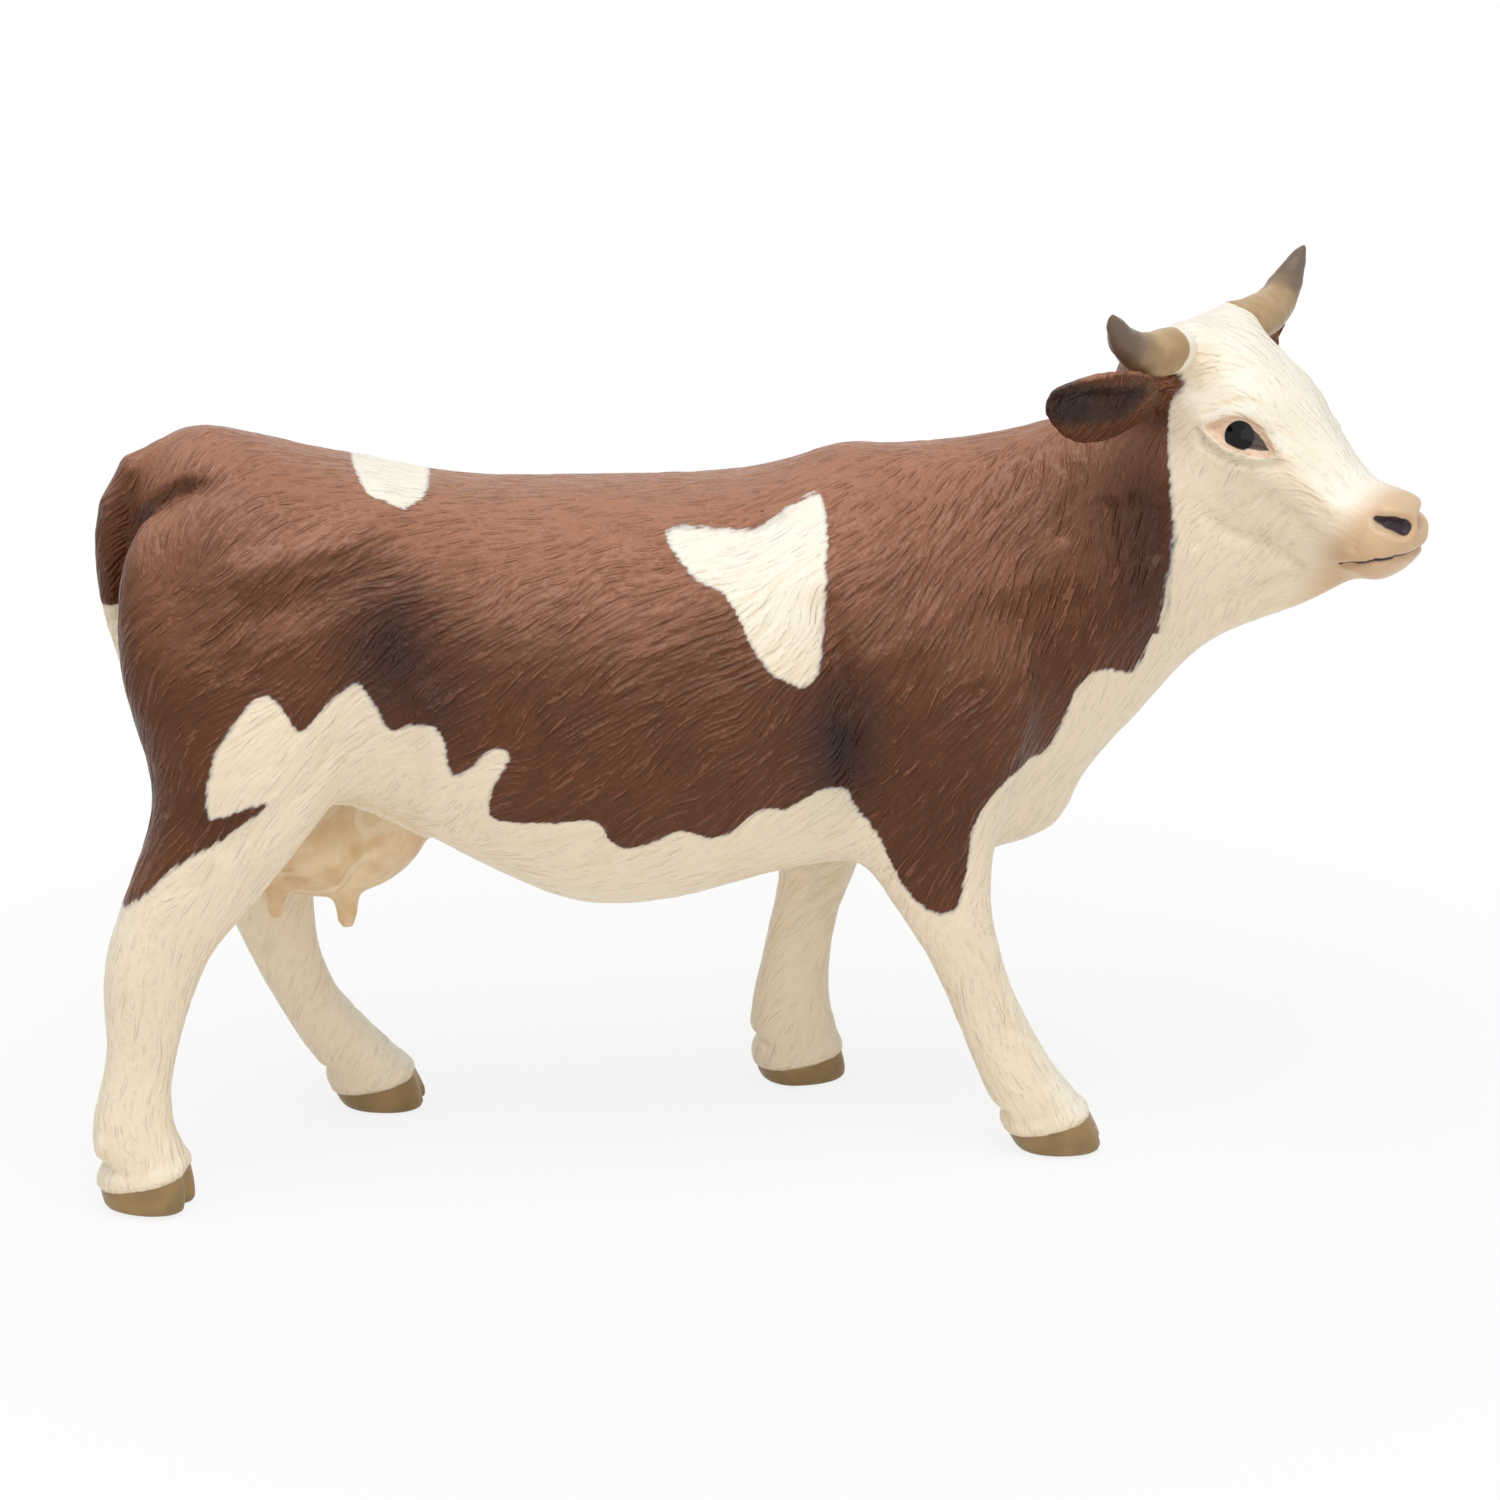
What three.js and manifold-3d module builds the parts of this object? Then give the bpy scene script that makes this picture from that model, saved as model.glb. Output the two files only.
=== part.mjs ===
// A hand-painted cow figurine, standing in mid stride with its head turned to its right.
// Twelve solid mouldings plug into each other: a body, a head with the front of the neck,
// two horns, two ears, four legs, an udder and a tail.
// Millimetres, +X to the cow's front, +Y to its left, +Z up, the hooves standing on Z = 0.

import * as THREE from 'three';
import { LoftGeometry } from 'three/addons/geometries/LoftGeometry.js';
import { mergeVertices } from 'three/addons/utils/BufferGeometryUtils.js';
import Module from 'manifold-3d';

// Body: from the rump to the front end of the neck.
const BODY_LENGTH = 128;
const BACK_HEIGHT = 80;
const BARREL_WIDTH = 43.2;
const NECK_TURN = 16.5;
const RUMP_TO_HIP = 12;
const HIP_TO_SHOULDER = 71.5;

// Legs: levels above the ground, then the length (along X) and the width (along Y) there.
const STANCE_WIDTH = 26;
const HOOF_HEIGHT = 5;
const HOOF_LENGTH = 10.2;
const HOOF_WIDTH = 8.8;
const FETLOCK_HEIGHT = 10;
const FETLOCK_LENGTH = 8.6;
const FETLOCK_WIDTH = 7.6;
const CANNON_HEIGHT = 17;
const CANNON_LENGTH = 7.6;
const CANNON_WIDTH = 6.4;
const KNEE_HEIGHT = 23.5;
const KNEE_LENGTH = 8.2;
const KNEE_WIDTH = 7.2;
const HOCK_HEIGHT = 27.5;
const HOCK_LENGTH = 11;
const HOCK_WIDTH = 8.2;
const FOREARM_HEIGHT = 31;
const FOREARM_LENGTH = 11.8;
const FOREARM_WIDTH = 8.6;
const GASKIN_HEIGHT = 35;
const GASKIN_LENGTH = 15;
const GASKIN_WIDTH = 10.2;
const ELBOW_HEIGHT = 40;
const ELBOW_LENGTH = 18;
const ELBOW_WIDTH = 10.6;
const STIFLE_HEIGHT = 46;
const STIFLE_LENGTH = 19.8;
const STIFLE_WIDTH = 13.2;
const SHOULDER_HEIGHT = 55;
const SHOULDER_LENGTH = 23.5;
const SHOULDER_WIDTH = 11.8;
const THIGH_HEIGHT = 59.5;
const THIGH_LENGTH = 28.4;
const THIGH_WIDTH = 14.4;
const HIP_HEIGHT = 71;
const HIP_LENGTH = 25.4;
const HIP_WIDTH = 9;
const PIN_HEIGHT = 76.5;
const PIN_LENGTH = 15;
const PIN_WIDTH = 5;
const WITHERS_HEIGHT = 71;
const WITHERS_LENGTH = 11;
const WITHERS_WIDTH = 5;
const CLEFT_WIDTH = 1.2;
const CLEFT_DEPTH = 3.6;
const DEWCLAW_RADIUS = 1.5;
const DEWCLAW_BACK = 3.4;
const DEWCLAW_SPREAD = 4;

// Head: HEAD_BACK of its length lies behind the poll, which the head turns and nods about.
const HEAD_LENGTH = 39;
const HEAD_BACK = 6;
const HEAD_DEPTH = 22;
const HEAD_WIDTH = 17.2;
const HEAD_TURN = THREE.MathUtils.degToRad(45.8);
const HEAD_NOD = THREE.MathUtils.degToRad(34);
const POLL_BEHIND_NECK_END = 12.5;
const POLL_TO_RIGHT = 5;
const POLL_ABOVE_BACK = 10.5;

// Horns and ears, seated on the head.
const HORN_LENGTH = 15.4;
const HORN_RADIUS = 2.7;
const HORN_SEAT_FORWARD = 1.5;
const HORN_SEAT_OUT = 5.6;
const HORN_SEAT_BELOW_POLL = 1.7;
const EAR_LENGTH = 18.8;
const EAR_WIDTH = 9.6;
const EAR_THICKNESS = 2.6;
const EAR_CUP = 1.8;
const EAR_SEAT_FORWARD = 2.6;
const EAR_SEAT_OUT = 6.2;
const EAR_SEAT_BELOW_POLL = 5.8;

// Udder, teats and tail.
const UDDER_LENGTH = 22.5;
const UDDER_WIDTH = 18;
const UDDER_DEPTH = 17;
const UDDER_AHEAD_OF_HIP = 7.8;
const UDDER_BELOW_BELLY = 3.4;
const TEAT_LENGTH = 5;
const TEAT_RADIUS = 1.6;
const TEAT_TIP_RADIUS = 1.1;
const TEAT_SPREAD = 8.6;
const TEAT_SPACING = 7.6;
const TEATS_BEHIND_MIDDLE = 2.4;
const TAIL_DROP = 37;
const TAIL_REACH = 5.8;
const TAIL_RADIUS = 2;

// Joints: each piece has a peg that is glued into a socket in what carries it.
const JOINT_GAP = 0.3;
const PEG_ROOT = 1;
const NECK_JOINT_BEHIND_END = 23;
const NECK_JOINT_TURN = THREE.MathUtils.degToRad(20);
const NECK_PEG_RADIUS = 6;
const NECK_PEG_LENGTH = 8;
const FORE_SEAM_HEIGHT = 33;
const FORE_PEG_RADIUS = 2.6;
const REAR_SEAM_HEIGHT = 40;
const REAR_PEG_RADIUS = 3.2;
const LEG_PEG_LENGTH = 6;
const HORN_PEG_RADIUS = 1.5;
const HORN_PEG_LENGTH = 3;
const EAR_PEG_RADIUS = 0.9;
const EAR_PEG_LENGTH = 2.4;
const UDDER_PEG_RADIUS = 4;
const UDDER_PEG_LENGTH = 5;
const TAIL_PEG_RADIUS = 1.1;
const TAIL_PEG_LENGTH = 4;

// Facets: sides around each form and steps along it.
const BODY_SIDES = 32;
const BODY_STEPS = 48;
const HEAD_SIDES = 24;
const HEAD_STEPS = 20;
const LEG_SIDES = 16;
const LEG_STEPS = 26;
const SMALL_SIDES = 14;
const SMALL_STEPS = 12;
const TEAT_TIP_STEPS = 3;

// Where the main parts stand, from the hips.
const RUMP_X = -RUMP_TO_HIP;
const NECK_END_X = RUMP_X + BODY_LENGTH;
const FAR = 3 * BODY_LENGTH;
const PERCENT = 0.01;
const SQUARER = 0.86;

// Body sections in percent: along the body's length, the back line, the widest level and the
// belly line of the back's height, half the barrel's width, the sideways turn of the neck,
// and how far the section narrows to its belly (keel) and to its back (crest).
const BODY_SECTIONS = [
  { at: 0, top: 95, wide: 80, low: 64, half: 56, turn: 0, keel: 0, crest: 20 },
  { at: 1.6, top: 99.5, wide: 80, low: 59, half: 69, turn: 0, keel: 0, crest: 20 },
  { at: 4.7, top: 102.5, wide: 79, low: 55, half: 77, turn: 0, keel: 0, crest: 20 },
  { at: 8.6, top: 102, wide: 77.5, low: 53, half: 81, turn: 0, keel: 0, crest: 18 },
  { at: 15, top: 99, wide: 77.5, low: 52.5, half: 83, turn: 0, keel: 0, crest: 10 },
  { at: 21, top: 96.5, wide: 75, low: 48.5, half: 87, turn: 0, keel: 0, crest: 8 },
  { at: 28, top: 94, wide: 67.5, low: 42, half: 93.5, turn: 0, keel: 0, crest: 8 },
  { at: 36, top: 93.2, wide: 64, low: 36, half: 100, turn: 0, keel: 0, crest: 8 },
  { at: 44, top: 92.8, wide: 63, low: 36, half: 100, turn: 0, keel: 0, crest: 8 },
  { at: 51.5, top: 93, wide: 64, low: 38.5, half: 94.5, turn: 0, keel: 0, crest: 10 },
  { at: 58.5, top: 95, wide: 66, low: 39.5, half: 87, turn: 0, keel: 0, crest: 16 },
  { at: 65.5, top: 96, wide: 67.5, low: 39, half: 79.5, turn: 0, keel: 5, crest: 22 },
  { at: 72, top: 97, wide: 69, low: 39, half: 70.5, turn: 0, keel: 20, crest: 28 },
  { at: 76.5, top: 98.5, wide: 71, low: 43.5, half: 64, turn: 2, keel: 32, crest: 30 },
  { at: 80.5, top: 101, wide: 77, low: 50.5, half: 58, turn: 9, keel: 38, crest: 30 },
  { at: 84.5, top: 105.5, wide: 82, low: 58, half: 50, turn: 19, keel: 40, crest: 30 },
  { at: 88.5, top: 109.5, wide: 86, low: 66, half: 38, turn: 30, keel: 40, crest: 20 },
  { at: 91.5, top: 107, wide: 86, low: 70, half: 31, turn: 43, keel: 35, crest: 10 },
  { at: 94.5, top: 97, wide: 85, low: 73, half: 24, turn: 62, keel: 25, crest: 5 },
  { at: 97.5, top: 96, wide: 85.5, low: 76, half: 18, turn: 81, keel: 15, crest: 0 },
  { at: 100, top: 94, wide: 86.5, low: 79.5, half: 13, turn: 100, keel: 0, crest: 0 },
];

// Muscles and hollows on both flanks, in percent: their middle and reach along the body's length,
// their middle and reach up the back's height, and how far they stand out of the barrel's width.
const FLANK_FORMS = [
  { at: 20.6, long: 4.7, up: 91, high: 6.3, rise: 2.3 },
  { at: 19.8, long: 3.6, up: 79, high: 8.2, rise: -3.4 },
  { at: 7.4, long: 6.3, up: 75, high: 12.5, rise: 1.8 },
  { at: 53.8, long: 2.8, up: 62.5, high: 10, rise: -1.6 },
  { at: 61.2, long: 3.9, up: 82.5, high: 10, rise: 1.4 },
  { at: 63.6, long: 4.7, up: 65, high: 11.3, rise: 2.1 },
  { at: 72.2, long: 3.2, up: 62.5, high: 7.5, rise: 1.8 },
];

// Head sections in percent: along the head's length, then the brow line, the widest level and
// the jaw line of its depth, above the poll, and half its width.
const HEAD_SECTIONS = [
  { at: 0, top: -36, wide: -42, low: -52, half: 26, turn: 0, keel: 0, crest: 0 },
  { at: 5, top: -22, wide: -32, low: -62, half: 62, turn: 0, keel: 0, crest: 0 },
  { at: 13, top: -1, wide: -18, low: -75, half: 98, turn: 0, keel: 5, crest: 22 },
  { at: 28, top: 11, wide: -20, low: -91, half: 99, turn: 0, keel: 8, crest: 36 },
  { at: 46, top: 6, wide: -22, low: -89, half: 97, turn: 0, keel: 15, crest: 30 },
  { at: 61.5, top: -2, wide: -25, low: -75, half: 80, turn: 0, keel: 15, crest: 28 },
  { at: 77, top: -6, wide: -27, low: -57, half: 64, turn: 0, keel: 10, crest: 18 },
  { at: 88.5, top: 3, wide: -23, low: -46, half: 67, turn: 0, keel: 8, crest: 6 },
  { at: 96, top: -2, wide: -23, low: -42, half: 62, turn: 0, keel: 5, crest: 0 },
  { at: 100, top: -14, wide: -23, low: -35, half: 45, turn: 0, keel: 0, crest: 0 },
];

// Leg sections, from the sole up. The spread is in percent of the stance.
const FORE_LEVELS = [
  { up: 0, long: HOOF_LENGTH, wide: HOOF_WIDTH, spread: 100 },
  { up: HOOF_HEIGHT, long: HOOF_LENGTH, wide: HOOF_WIDTH, spread: 100 },
  { up: FETLOCK_HEIGHT, long: FETLOCK_LENGTH, wide: FETLOCK_WIDTH, spread: 100 },
  { up: CANNON_HEIGHT, long: CANNON_LENGTH, wide: CANNON_WIDTH, spread: 101 },
  { up: KNEE_HEIGHT, long: KNEE_LENGTH, wide: KNEE_WIDTH, spread: 103 },
  { up: FOREARM_HEIGHT, long: FOREARM_LENGTH, wide: FOREARM_WIDTH, spread: 103 },
  { up: ELBOW_HEIGHT, long: ELBOW_LENGTH, wide: ELBOW_WIDTH, spread: 101 },
  { up: SHOULDER_HEIGHT, long: SHOULDER_LENGTH, wide: SHOULDER_WIDTH, spread: 93 },
  { up: WITHERS_HEIGHT, long: WITHERS_LENGTH, wide: WITHERS_WIDTH, spread: 55 },
];
const REAR_LEVELS = [
  { up: 0, long: HOOF_LENGTH, wide: HOOF_WIDTH, spread: 98 },
  { up: HOOF_HEIGHT, long: HOOF_LENGTH, wide: HOOF_WIDTH, spread: 98 },
  { up: FETLOCK_HEIGHT, long: FETLOCK_LENGTH, wide: FETLOCK_WIDTH, spread: 98 },
  { up: CANNON_HEIGHT, long: CANNON_LENGTH, wide: CANNON_WIDTH, spread: 98 },
  { up: HOCK_HEIGHT, long: HOCK_LENGTH, wide: HOCK_WIDTH, spread: 99 },
  { up: GASKIN_HEIGHT, long: GASKIN_LENGTH, wide: GASKIN_WIDTH, spread: 99 },
  { up: STIFLE_HEIGHT, long: STIFLE_LENGTH, wide: STIFLE_WIDTH, spread: 98 },
  { up: THIGH_HEIGHT, long: THIGH_LENGTH, wide: THIGH_WIDTH, spread: 89 },
  { up: HIP_HEIGHT, long: HIP_LENGTH, wide: HIP_WIDTH, spread: 72 },
  { up: PIN_HEIGHT, long: PIN_LENGTH, wide: PIN_WIDTH, spread: 60 },
];

// The stride: how far forward of its root each level of a leg stands, in percent of its height.
// The claw is the height of its dewclaws, and the toe how far its hoof turns to the right.
const LEGS = [
  {
    name: 'foreleg_right', side: -1, root: HIP_TO_SHOULDER, height: WITHERS_HEIGHT,
    levels: FORE_LEVELS, stride: [21.2, 17.6, 13.3, 8.7, 5, 0.9, -1.4, 0.9, -0.7],
    seam: FORE_SEAM_HEIGHT, peg: FORE_PEG_RADIUS, claw: 5.2, toe: THREE.MathUtils.degToRad(12),
  },
  {
    name: 'foreleg_left', side: 1, root: HIP_TO_SHOULDER, height: WITHERS_HEIGHT,
    levels: FORE_LEVELS, stride: [-12.6, -14.2, -14.8, -13.4, -11, -8, -3.4, 0.1, -0.7],
    seam: FORE_SEAM_HEIGHT, peg: FORE_PEG_RADIUS, claw: 6.3, toe: THREE.MathUtils.degToRad(-8),
  },
  {
    name: 'hindleg_right', side: -1, root: 0, height: PIN_HEIGHT,
    levels: REAR_LEVELS, stride: [-17.5, -18.3, -19.6, -18.2, -15.8, -10.3, -2.6, -1, -2, -3.4],
    seam: REAR_SEAM_HEIGHT, peg: REAR_PEG_RADIUS, claw: 7.7, toe: THREE.MathUtils.degToRad(26),
  },
  {
    name: 'hindleg_left', side: 1, root: 0, height: PIN_HEIGHT,
    levels: REAR_LEVELS, stride: [19.8, 16.6, 11.5, 6.1, 2.6, 4.3, 5.8, 2.6, 0.7, 0.6],
    seam: REAR_SEAM_HEIGHT, peg: REAR_PEG_RADIUS, claw: 5.6, toe: THREE.MathUtils.degToRad(14),
  },
];

// Horn and ear paths, in percent of their length from the seat: forward, out and up.
const HORN_PATH = [[0, 0, 0], [-4, 39, 2], [-13, 66, 9], [-29, 86, 28]];
const HORN_THICKNESS = [100, 100, 100, 96, 86, 70, 50, 22];
const RIGHT_EAR_PATH = [[0, 0, 0], [0, 35, 0], [-8, 70, 1], [-21, 100, -2]];
const LEFT_EAR_PATH = [[0, 0, 0], [0, 30, -6], [-18, 60, -18], [-40, 74, -36]];
const EAR_BREADTH = [36, 38, 56, 88, 106, 114, 110, 88, 36];

// The tail, in percent of its reach and drop from its root on the rump: back, left and down.
const TAIL_PATH = [
  [0, 0, 0], [62, 0, 3], [98, 0, 18], [100, 0, 38], [74, 4, 60], [44, 10, 82], [22, 16, 100],
];
const TAIL_THICKNESS = [150, 138, 116, 96, 84, 84, 92, 84, 44];

const wasm = await Module();
wasm.setup();

// A closed geometry as a solid that can be joined and cut.
function toSolid(geometry) {
  const bare = new THREE.BufferGeometry();
  bare.setAttribute('position', geometry.getAttribute('position').clone());
  bare.setIndex(geometry.getIndex());
  const merged = mergeVertices(bare);
  const vertProperties = new Float32Array(merged.getAttribute('position').array);
  const triVerts = new Uint32Array(merged.getIndex().array);
  return new wasm.Manifold(new wasm.Mesh({ numProp: 3, vertProperties, triVerts }));
}

// A solid as a geometry in the frame of the group that will hold it.
function toGeometry(solid, group) {
  const mesh = solid.getMesh();
  const geometry = new THREE.BufferGeometry();
  geometry.setAttribute('position', new THREE.BufferAttribute(mesh.vertProperties, 3));
  geometry.setIndex(new THREE.BufferAttribute(mesh.triVerts, 1));
  group.updateWorldMatrix(true, false);
  geometry.applyMatrix4(group.matrixWorld.clone().invert());
  geometry.computeVertexNormals();
  return geometry;
}

// A smooth value through a list, at a share of the way along it.
function along(values, share) {
  const span = share * (values.length - 1);
  const start = Math.min(Math.floor(span), values.length - 2);
  const [before, from, to, after] = [-1, 0, 1, 2].map(
    (step) => values[THREE.MathUtils.clamp(start + step, 0, values.length - 1)],
  );
  const t = span - start;
  const slopeFrom = (to - before) / 2;
  const slopeTo = (after - from) / 2;
  const bend = 2 * (from - to) + slopeFrom + slopeTo;
  return from + t * (slopeFrom + t * (3 * (to - from) - 2 * slopeFrom - slopeTo + t * bend));
}

// All fields of a list of sections, at a share of the way along it.
function sectionAt(sections, share) {
  const fields = Object.keys(sections[0]);
  return Object.fromEntries(fields.map((field) => [field, along(sections.map((s) => s[field]), share)]));
}

function power(value, exponent) {
  return Math.sign(value) * Math.abs(value) ** exponent;
}

function loft(rings) {
  return toSolid(new LoftGeometry(rings, { capStart: true, capEnd: true }));
}

// How far a list of soft forms stands out sideways at a place.
function formsAt(forms, x, z) {
  let height = 0;
  for (const { at, long, up, high, rise } of forms) {
    const dx = (x - RUMP_X - at * PERCENT * BODY_LENGTH) / (long * PERCENT * BODY_LENGTH);
    const dz = (z - up * PERCENT * BACK_HEIGHT) / (high * PERCENT * BACK_HEIGHT);
    height += rise * PERCENT * BARREL_WIDTH * Math.exp(-dx * dx - dz * dz);
  }
  return height;
}

// One upright section of the body or the head, with room for a clearance all round.
function uprightRing(section, x, clearance, scale, sides) {
  const wide = section.wide * PERCENT * scale.height;
  const rise = (section.top - section.wide) * PERCENT * scale.height + clearance;
  const fall = (section.wide - section.low) * PERCENT * scale.height + clearance;
  const half = section.half * PERCENT * scale.width / 2 + clearance;
  const side = -section.turn * PERCENT * scale.turn;
  const ring = [];
  for (let i = 0; i < sides; i += 1) {
    const angle = 2 * Math.PI * i / sides;
    const lift = power(Math.sin(angle), SQUARER);
    const narrow = lift > 0 ? section.crest * lift : -section.keel * lift;
    const z = wide + lift * (lift > 0 ? rise : fall);
    const reach = half * (1 - narrow * PERCENT) + formsAt(scale.forms, x, z);
    const y = side + reach * power(Math.cos(angle), SQUARER);
    ring.push(new THREE.Vector3(x, y, z));
  }
  return ring;
}

function uprightForm(sections, startX, scale, sides, steps, clearance) {
  const rings = [];
  for (let step = 0; step <= steps; step += 1) {
    const share = step / steps;
    const section = sectionAt(sections, share);
    const x = startX + section.at * PERCENT * scale.length + (2 * share - 1) * clearance;
    rings.push(uprightRing(section, x, clearance, scale, sides));
  }
  return loft(rings);
}

const BODY_SCALE = {
  length: BODY_LENGTH, height: BACK_HEIGHT, width: BARREL_WIDTH, turn: NECK_TURN, forms: FLANK_FORMS,
};
const HEAD_SCALE = { length: HEAD_LENGTH, height: HEAD_DEPTH, width: HEAD_WIDTH, turn: 0, forms: [] };

function bodyForm(clearance) {
  return uprightForm(BODY_SECTIONS, RUMP_X, BODY_SCALE, BODY_SIDES, BODY_STEPS, clearance);
}

function headForm(clearance) {
  return uprightForm(HEAD_SECTIONS, -HEAD_BACK, HEAD_SCALE, HEAD_SIDES, HEAD_STEPS, clearance);
}

// The centre and size of a leg at a share of the way up its levels.
function legSection(leg, share) {
  const level = sectionAt(leg.levels, share);
  const x = leg.root + along(leg.stride, share) * PERCENT * leg.height;
  const y = leg.side * level.spread * PERCENT * STANCE_WIDTH / 2;
  return { x, y, z: Math.max(level.up, 0), long: level.long, wide: level.wide };
}

function legForm(leg, clearance) {
  const rings = [];
  for (let step = 0; step <= LEG_STEPS; step += 1) {
    const { x, y, z, long, wide } = legSection(leg, step / LEG_STEPS);
    const turn = -leg.toe * THREE.MathUtils.smoothstep(FETLOCK_HEIGHT - z, 0, FETLOCK_HEIGHT - HOOF_HEIGHT);
    const ring = [];
    for (let i = 0; i < LEG_SIDES; i += 1) {
      const angle = 2 * Math.PI * i / LEG_SIDES;
      const dx = power(Math.cos(angle), SQUARER) * (long / 2 + clearance);
      const dy = power(Math.sin(angle), SQUARER) * (wide / 2 + clearance);
      ring.push(new THREE.Vector3(dx, dy, z).applyAxisAngle(UP, turn).add(new THREE.Vector3(x, y, 0)));
    }
    rings.push(ring);
  }
  return loft(rings);
}

// The centre of a leg at a height above the ground.
function legCentre(leg, height) {
  const shares = Array.from({ length: LEG_STEPS + 1 }, (_, step) => step / LEG_STEPS);
  const above = shares.findIndex((share) => legSection(leg, share).z >= height);
  const low = legSection(leg, shares[above - 1]);
  const high = legSection(leg, shares[above]);
  const t = (height - low.z) / (high.z - low.z);
  const x = THREE.MathUtils.lerp(low.x, high.x, t);
  const y = THREE.MathUtils.lerp(low.y, high.y, t);
  return new THREE.Vector3(x, y, height);
}

// A tapered form along a curve. The outline gives a section's points from its share and angle.
function sweptForm(curve, up, outline) {
  const rings = [];
  for (let step = 0; step <= SMALL_STEPS; step += 1) {
    const share = step / SMALL_STEPS;
    const centre = curve.getPointAt(share);
    const forward = curve.getTangentAt(share);
    const across = new THREE.Vector3().crossVectors(up, forward).normalize();
    const upright = new THREE.Vector3().crossVectors(forward, across);
    const ring = [];
    for (let i = 0; i < SMALL_SIDES; i += 1) {
      const [u, v] = outline(share, 2 * Math.PI * i / SMALL_SIDES);
      ring.push(centre.clone().addScaledVector(across, u).addScaledVector(upright, v));
    }
    rings.push(ring);
  }
  return loft(rings);
}

function turned(solid, matrix) {
  return solid.transform(matrix.elements);
}

// A matrix that carries +Z to a direction and the origin to a point.
function aimed(point, direction) {
  const turn = new THREE.Quaternion().setFromUnitVectors(new THREE.Vector3(0, 0, 1), direction);
  return new THREE.Matrix4().compose(point, turn, new THREE.Vector3(1, 1, 1));
}

// A peg from just behind a point, and its socket, which is wider and deeper by the joint's gap.
function pegAlong(point, direction, radius, length, clearance = 0) {
  const full = PEG_ROOT + length + clearance;
  const cylinder = new THREE.CylinderGeometry(radius + clearance, radius + clearance, full, SMALL_SIDES);
  cylinder.rotateX(Math.PI / 2);
  cylinder.translate(0, 0, full / 2 - PEG_ROOT);
  return turned(toSolid(cylinder), aimed(point, direction));
}

// Everything on the far side of a plane.
function beyond(point, direction) {
  const block = new THREE.BoxGeometry(FAR, FAR, FAR).translate(0, 0, FAR / 2);
  return turned(toSolid(block), aimed(point, direction));
}

// The frame of the head: origin at the poll, +X to the nose, +Y to the cow's left.
const headFrame = new THREE.Group();
headFrame.position.set(NECK_END_X - POLL_BEHIND_NECK_END, -POLL_TO_RIGHT, BACK_HEIGHT + POLL_ABOVE_BACK);
headFrame.rotation.set(0, HEAD_NOD, -HEAD_TURN, 'ZYX');
headFrame.updateMatrixWorld();

const UP = new THREE.Vector3(0, 0, 1);
const DOWN = new THREE.Vector3(0, 0, -1);
const FORWARD = new THREE.Vector3(1, 0, 0);
const LEFT = new THREE.Vector3(0, 1, 0);
const trunk = bodyForm(0);
const trunkClear = bodyForm(JOINT_GAP);
const legForms = LEGS.map((leg) => legForm(leg, 0));
const legsClear = LEGS.map((leg) => legForm(leg, JOINT_GAP));
const skull = turned(headForm(0), headFrame.matrixWorld);
const skullClear = turned(headForm(JOINT_GAP), headFrame.matrixWorld);

// The body's section at a place along it, straight between the listed ones.
function bodyAt(x) {
  const at = (x - RUMP_X) / BODY_LENGTH / PERCENT;
  const next = BODY_SECTIONS.findIndex((section) => section.at >= at);
  const [behind, ahead] = [BODY_SECTIONS[next - 1], BODY_SECTIONS[next]];
  const t = (at - behind.at) / (ahead.at - behind.at);
  const between = (field) => THREE.MathUtils.lerp(behind[field], ahead[field], t);
  return Object.fromEntries(Object.keys(behind).map((field) => [field, between(field)]));
}

// The neck joint: an upright plane across the neck.
const neckDirection = new THREE.Vector3(Math.cos(NECK_JOINT_TURN), -Math.sin(NECK_JOINT_TURN), 0);
const neckCentre = new THREE.Vector3(NECK_END_X - NECK_JOINT_BEHIND_END, 0, 0);
const neckSection = bodyAt(neckCentre.x);
neckCentre.y = -neckSection.turn * PERCENT * NECK_TURN;
neckCentre.z = (neckSection.top + neckSection.low) / 2 * PERCENT * BACK_HEIGHT;
const neckBack = neckDirection.clone().negate();

function pointOn(point, direction, distance) {
  return point.clone().addScaledVector(direction, distance);
}

// Head: the skull, the front of the neck and the neck's peg.
function makeHead() {
  const seat = pointOn(neckCentre, neckDirection, JOINT_GAP);
  const front = skull.add(trunk).intersect(beyond(seat, neckDirection));
  return front.add(pegAlong(seat, neckBack, NECK_PEG_RADIUS, NECK_PEG_LENGTH));
}

// A path given in percent, from its seat in the head's frame, on one side.
function headCurve(path, length, seat, side) {
  const points = path.map(([forward, out, up]) => {
    const step = new THREE.Vector3(forward, side * out, up).multiplyScalar(PERCENT * length);
    return step.add(new THREE.Vector3(seat.x, side * seat.y, seat.z)).applyMatrix4(headFrame.matrixWorld);
  });
  return new THREE.CatmullRomCurve3(points);
}

const headUp = UP.clone().transformDirection(headFrame.matrixWorld);
const hornSeat = new THREE.Vector3(HORN_SEAT_FORWARD, HORN_SEAT_OUT, -HORN_SEAT_BELOW_POLL);
const earSeat = new THREE.Vector3(EAR_SEAT_FORWARD, EAR_SEAT_OUT, -EAR_SEAT_BELOW_POLL);

// A peg that runs back along a curve into the head, from where the curve leaves the head's side.
function headPeg(curve, seatOut, radius, length, clearance) {
  const outside = (HEAD_WIDTH / 2 - seatOut + PEG_ROOT) / curve.getLength();
  const inward = curve.getTangentAt(outside).negate();
  return pegAlong(curve.getPointAt(outside), inward, radius, PEG_ROOT + length, clearance);
}

function hornForm(curve, clearance) {
  return sweptForm(curve, headUp, (share, angle) => {
    const radius = along(HORN_THICKNESS, share) * PERCENT * HORN_RADIUS + clearance;
    return [radius * Math.cos(angle), radius * Math.sin(angle)];
  });
}

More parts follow.
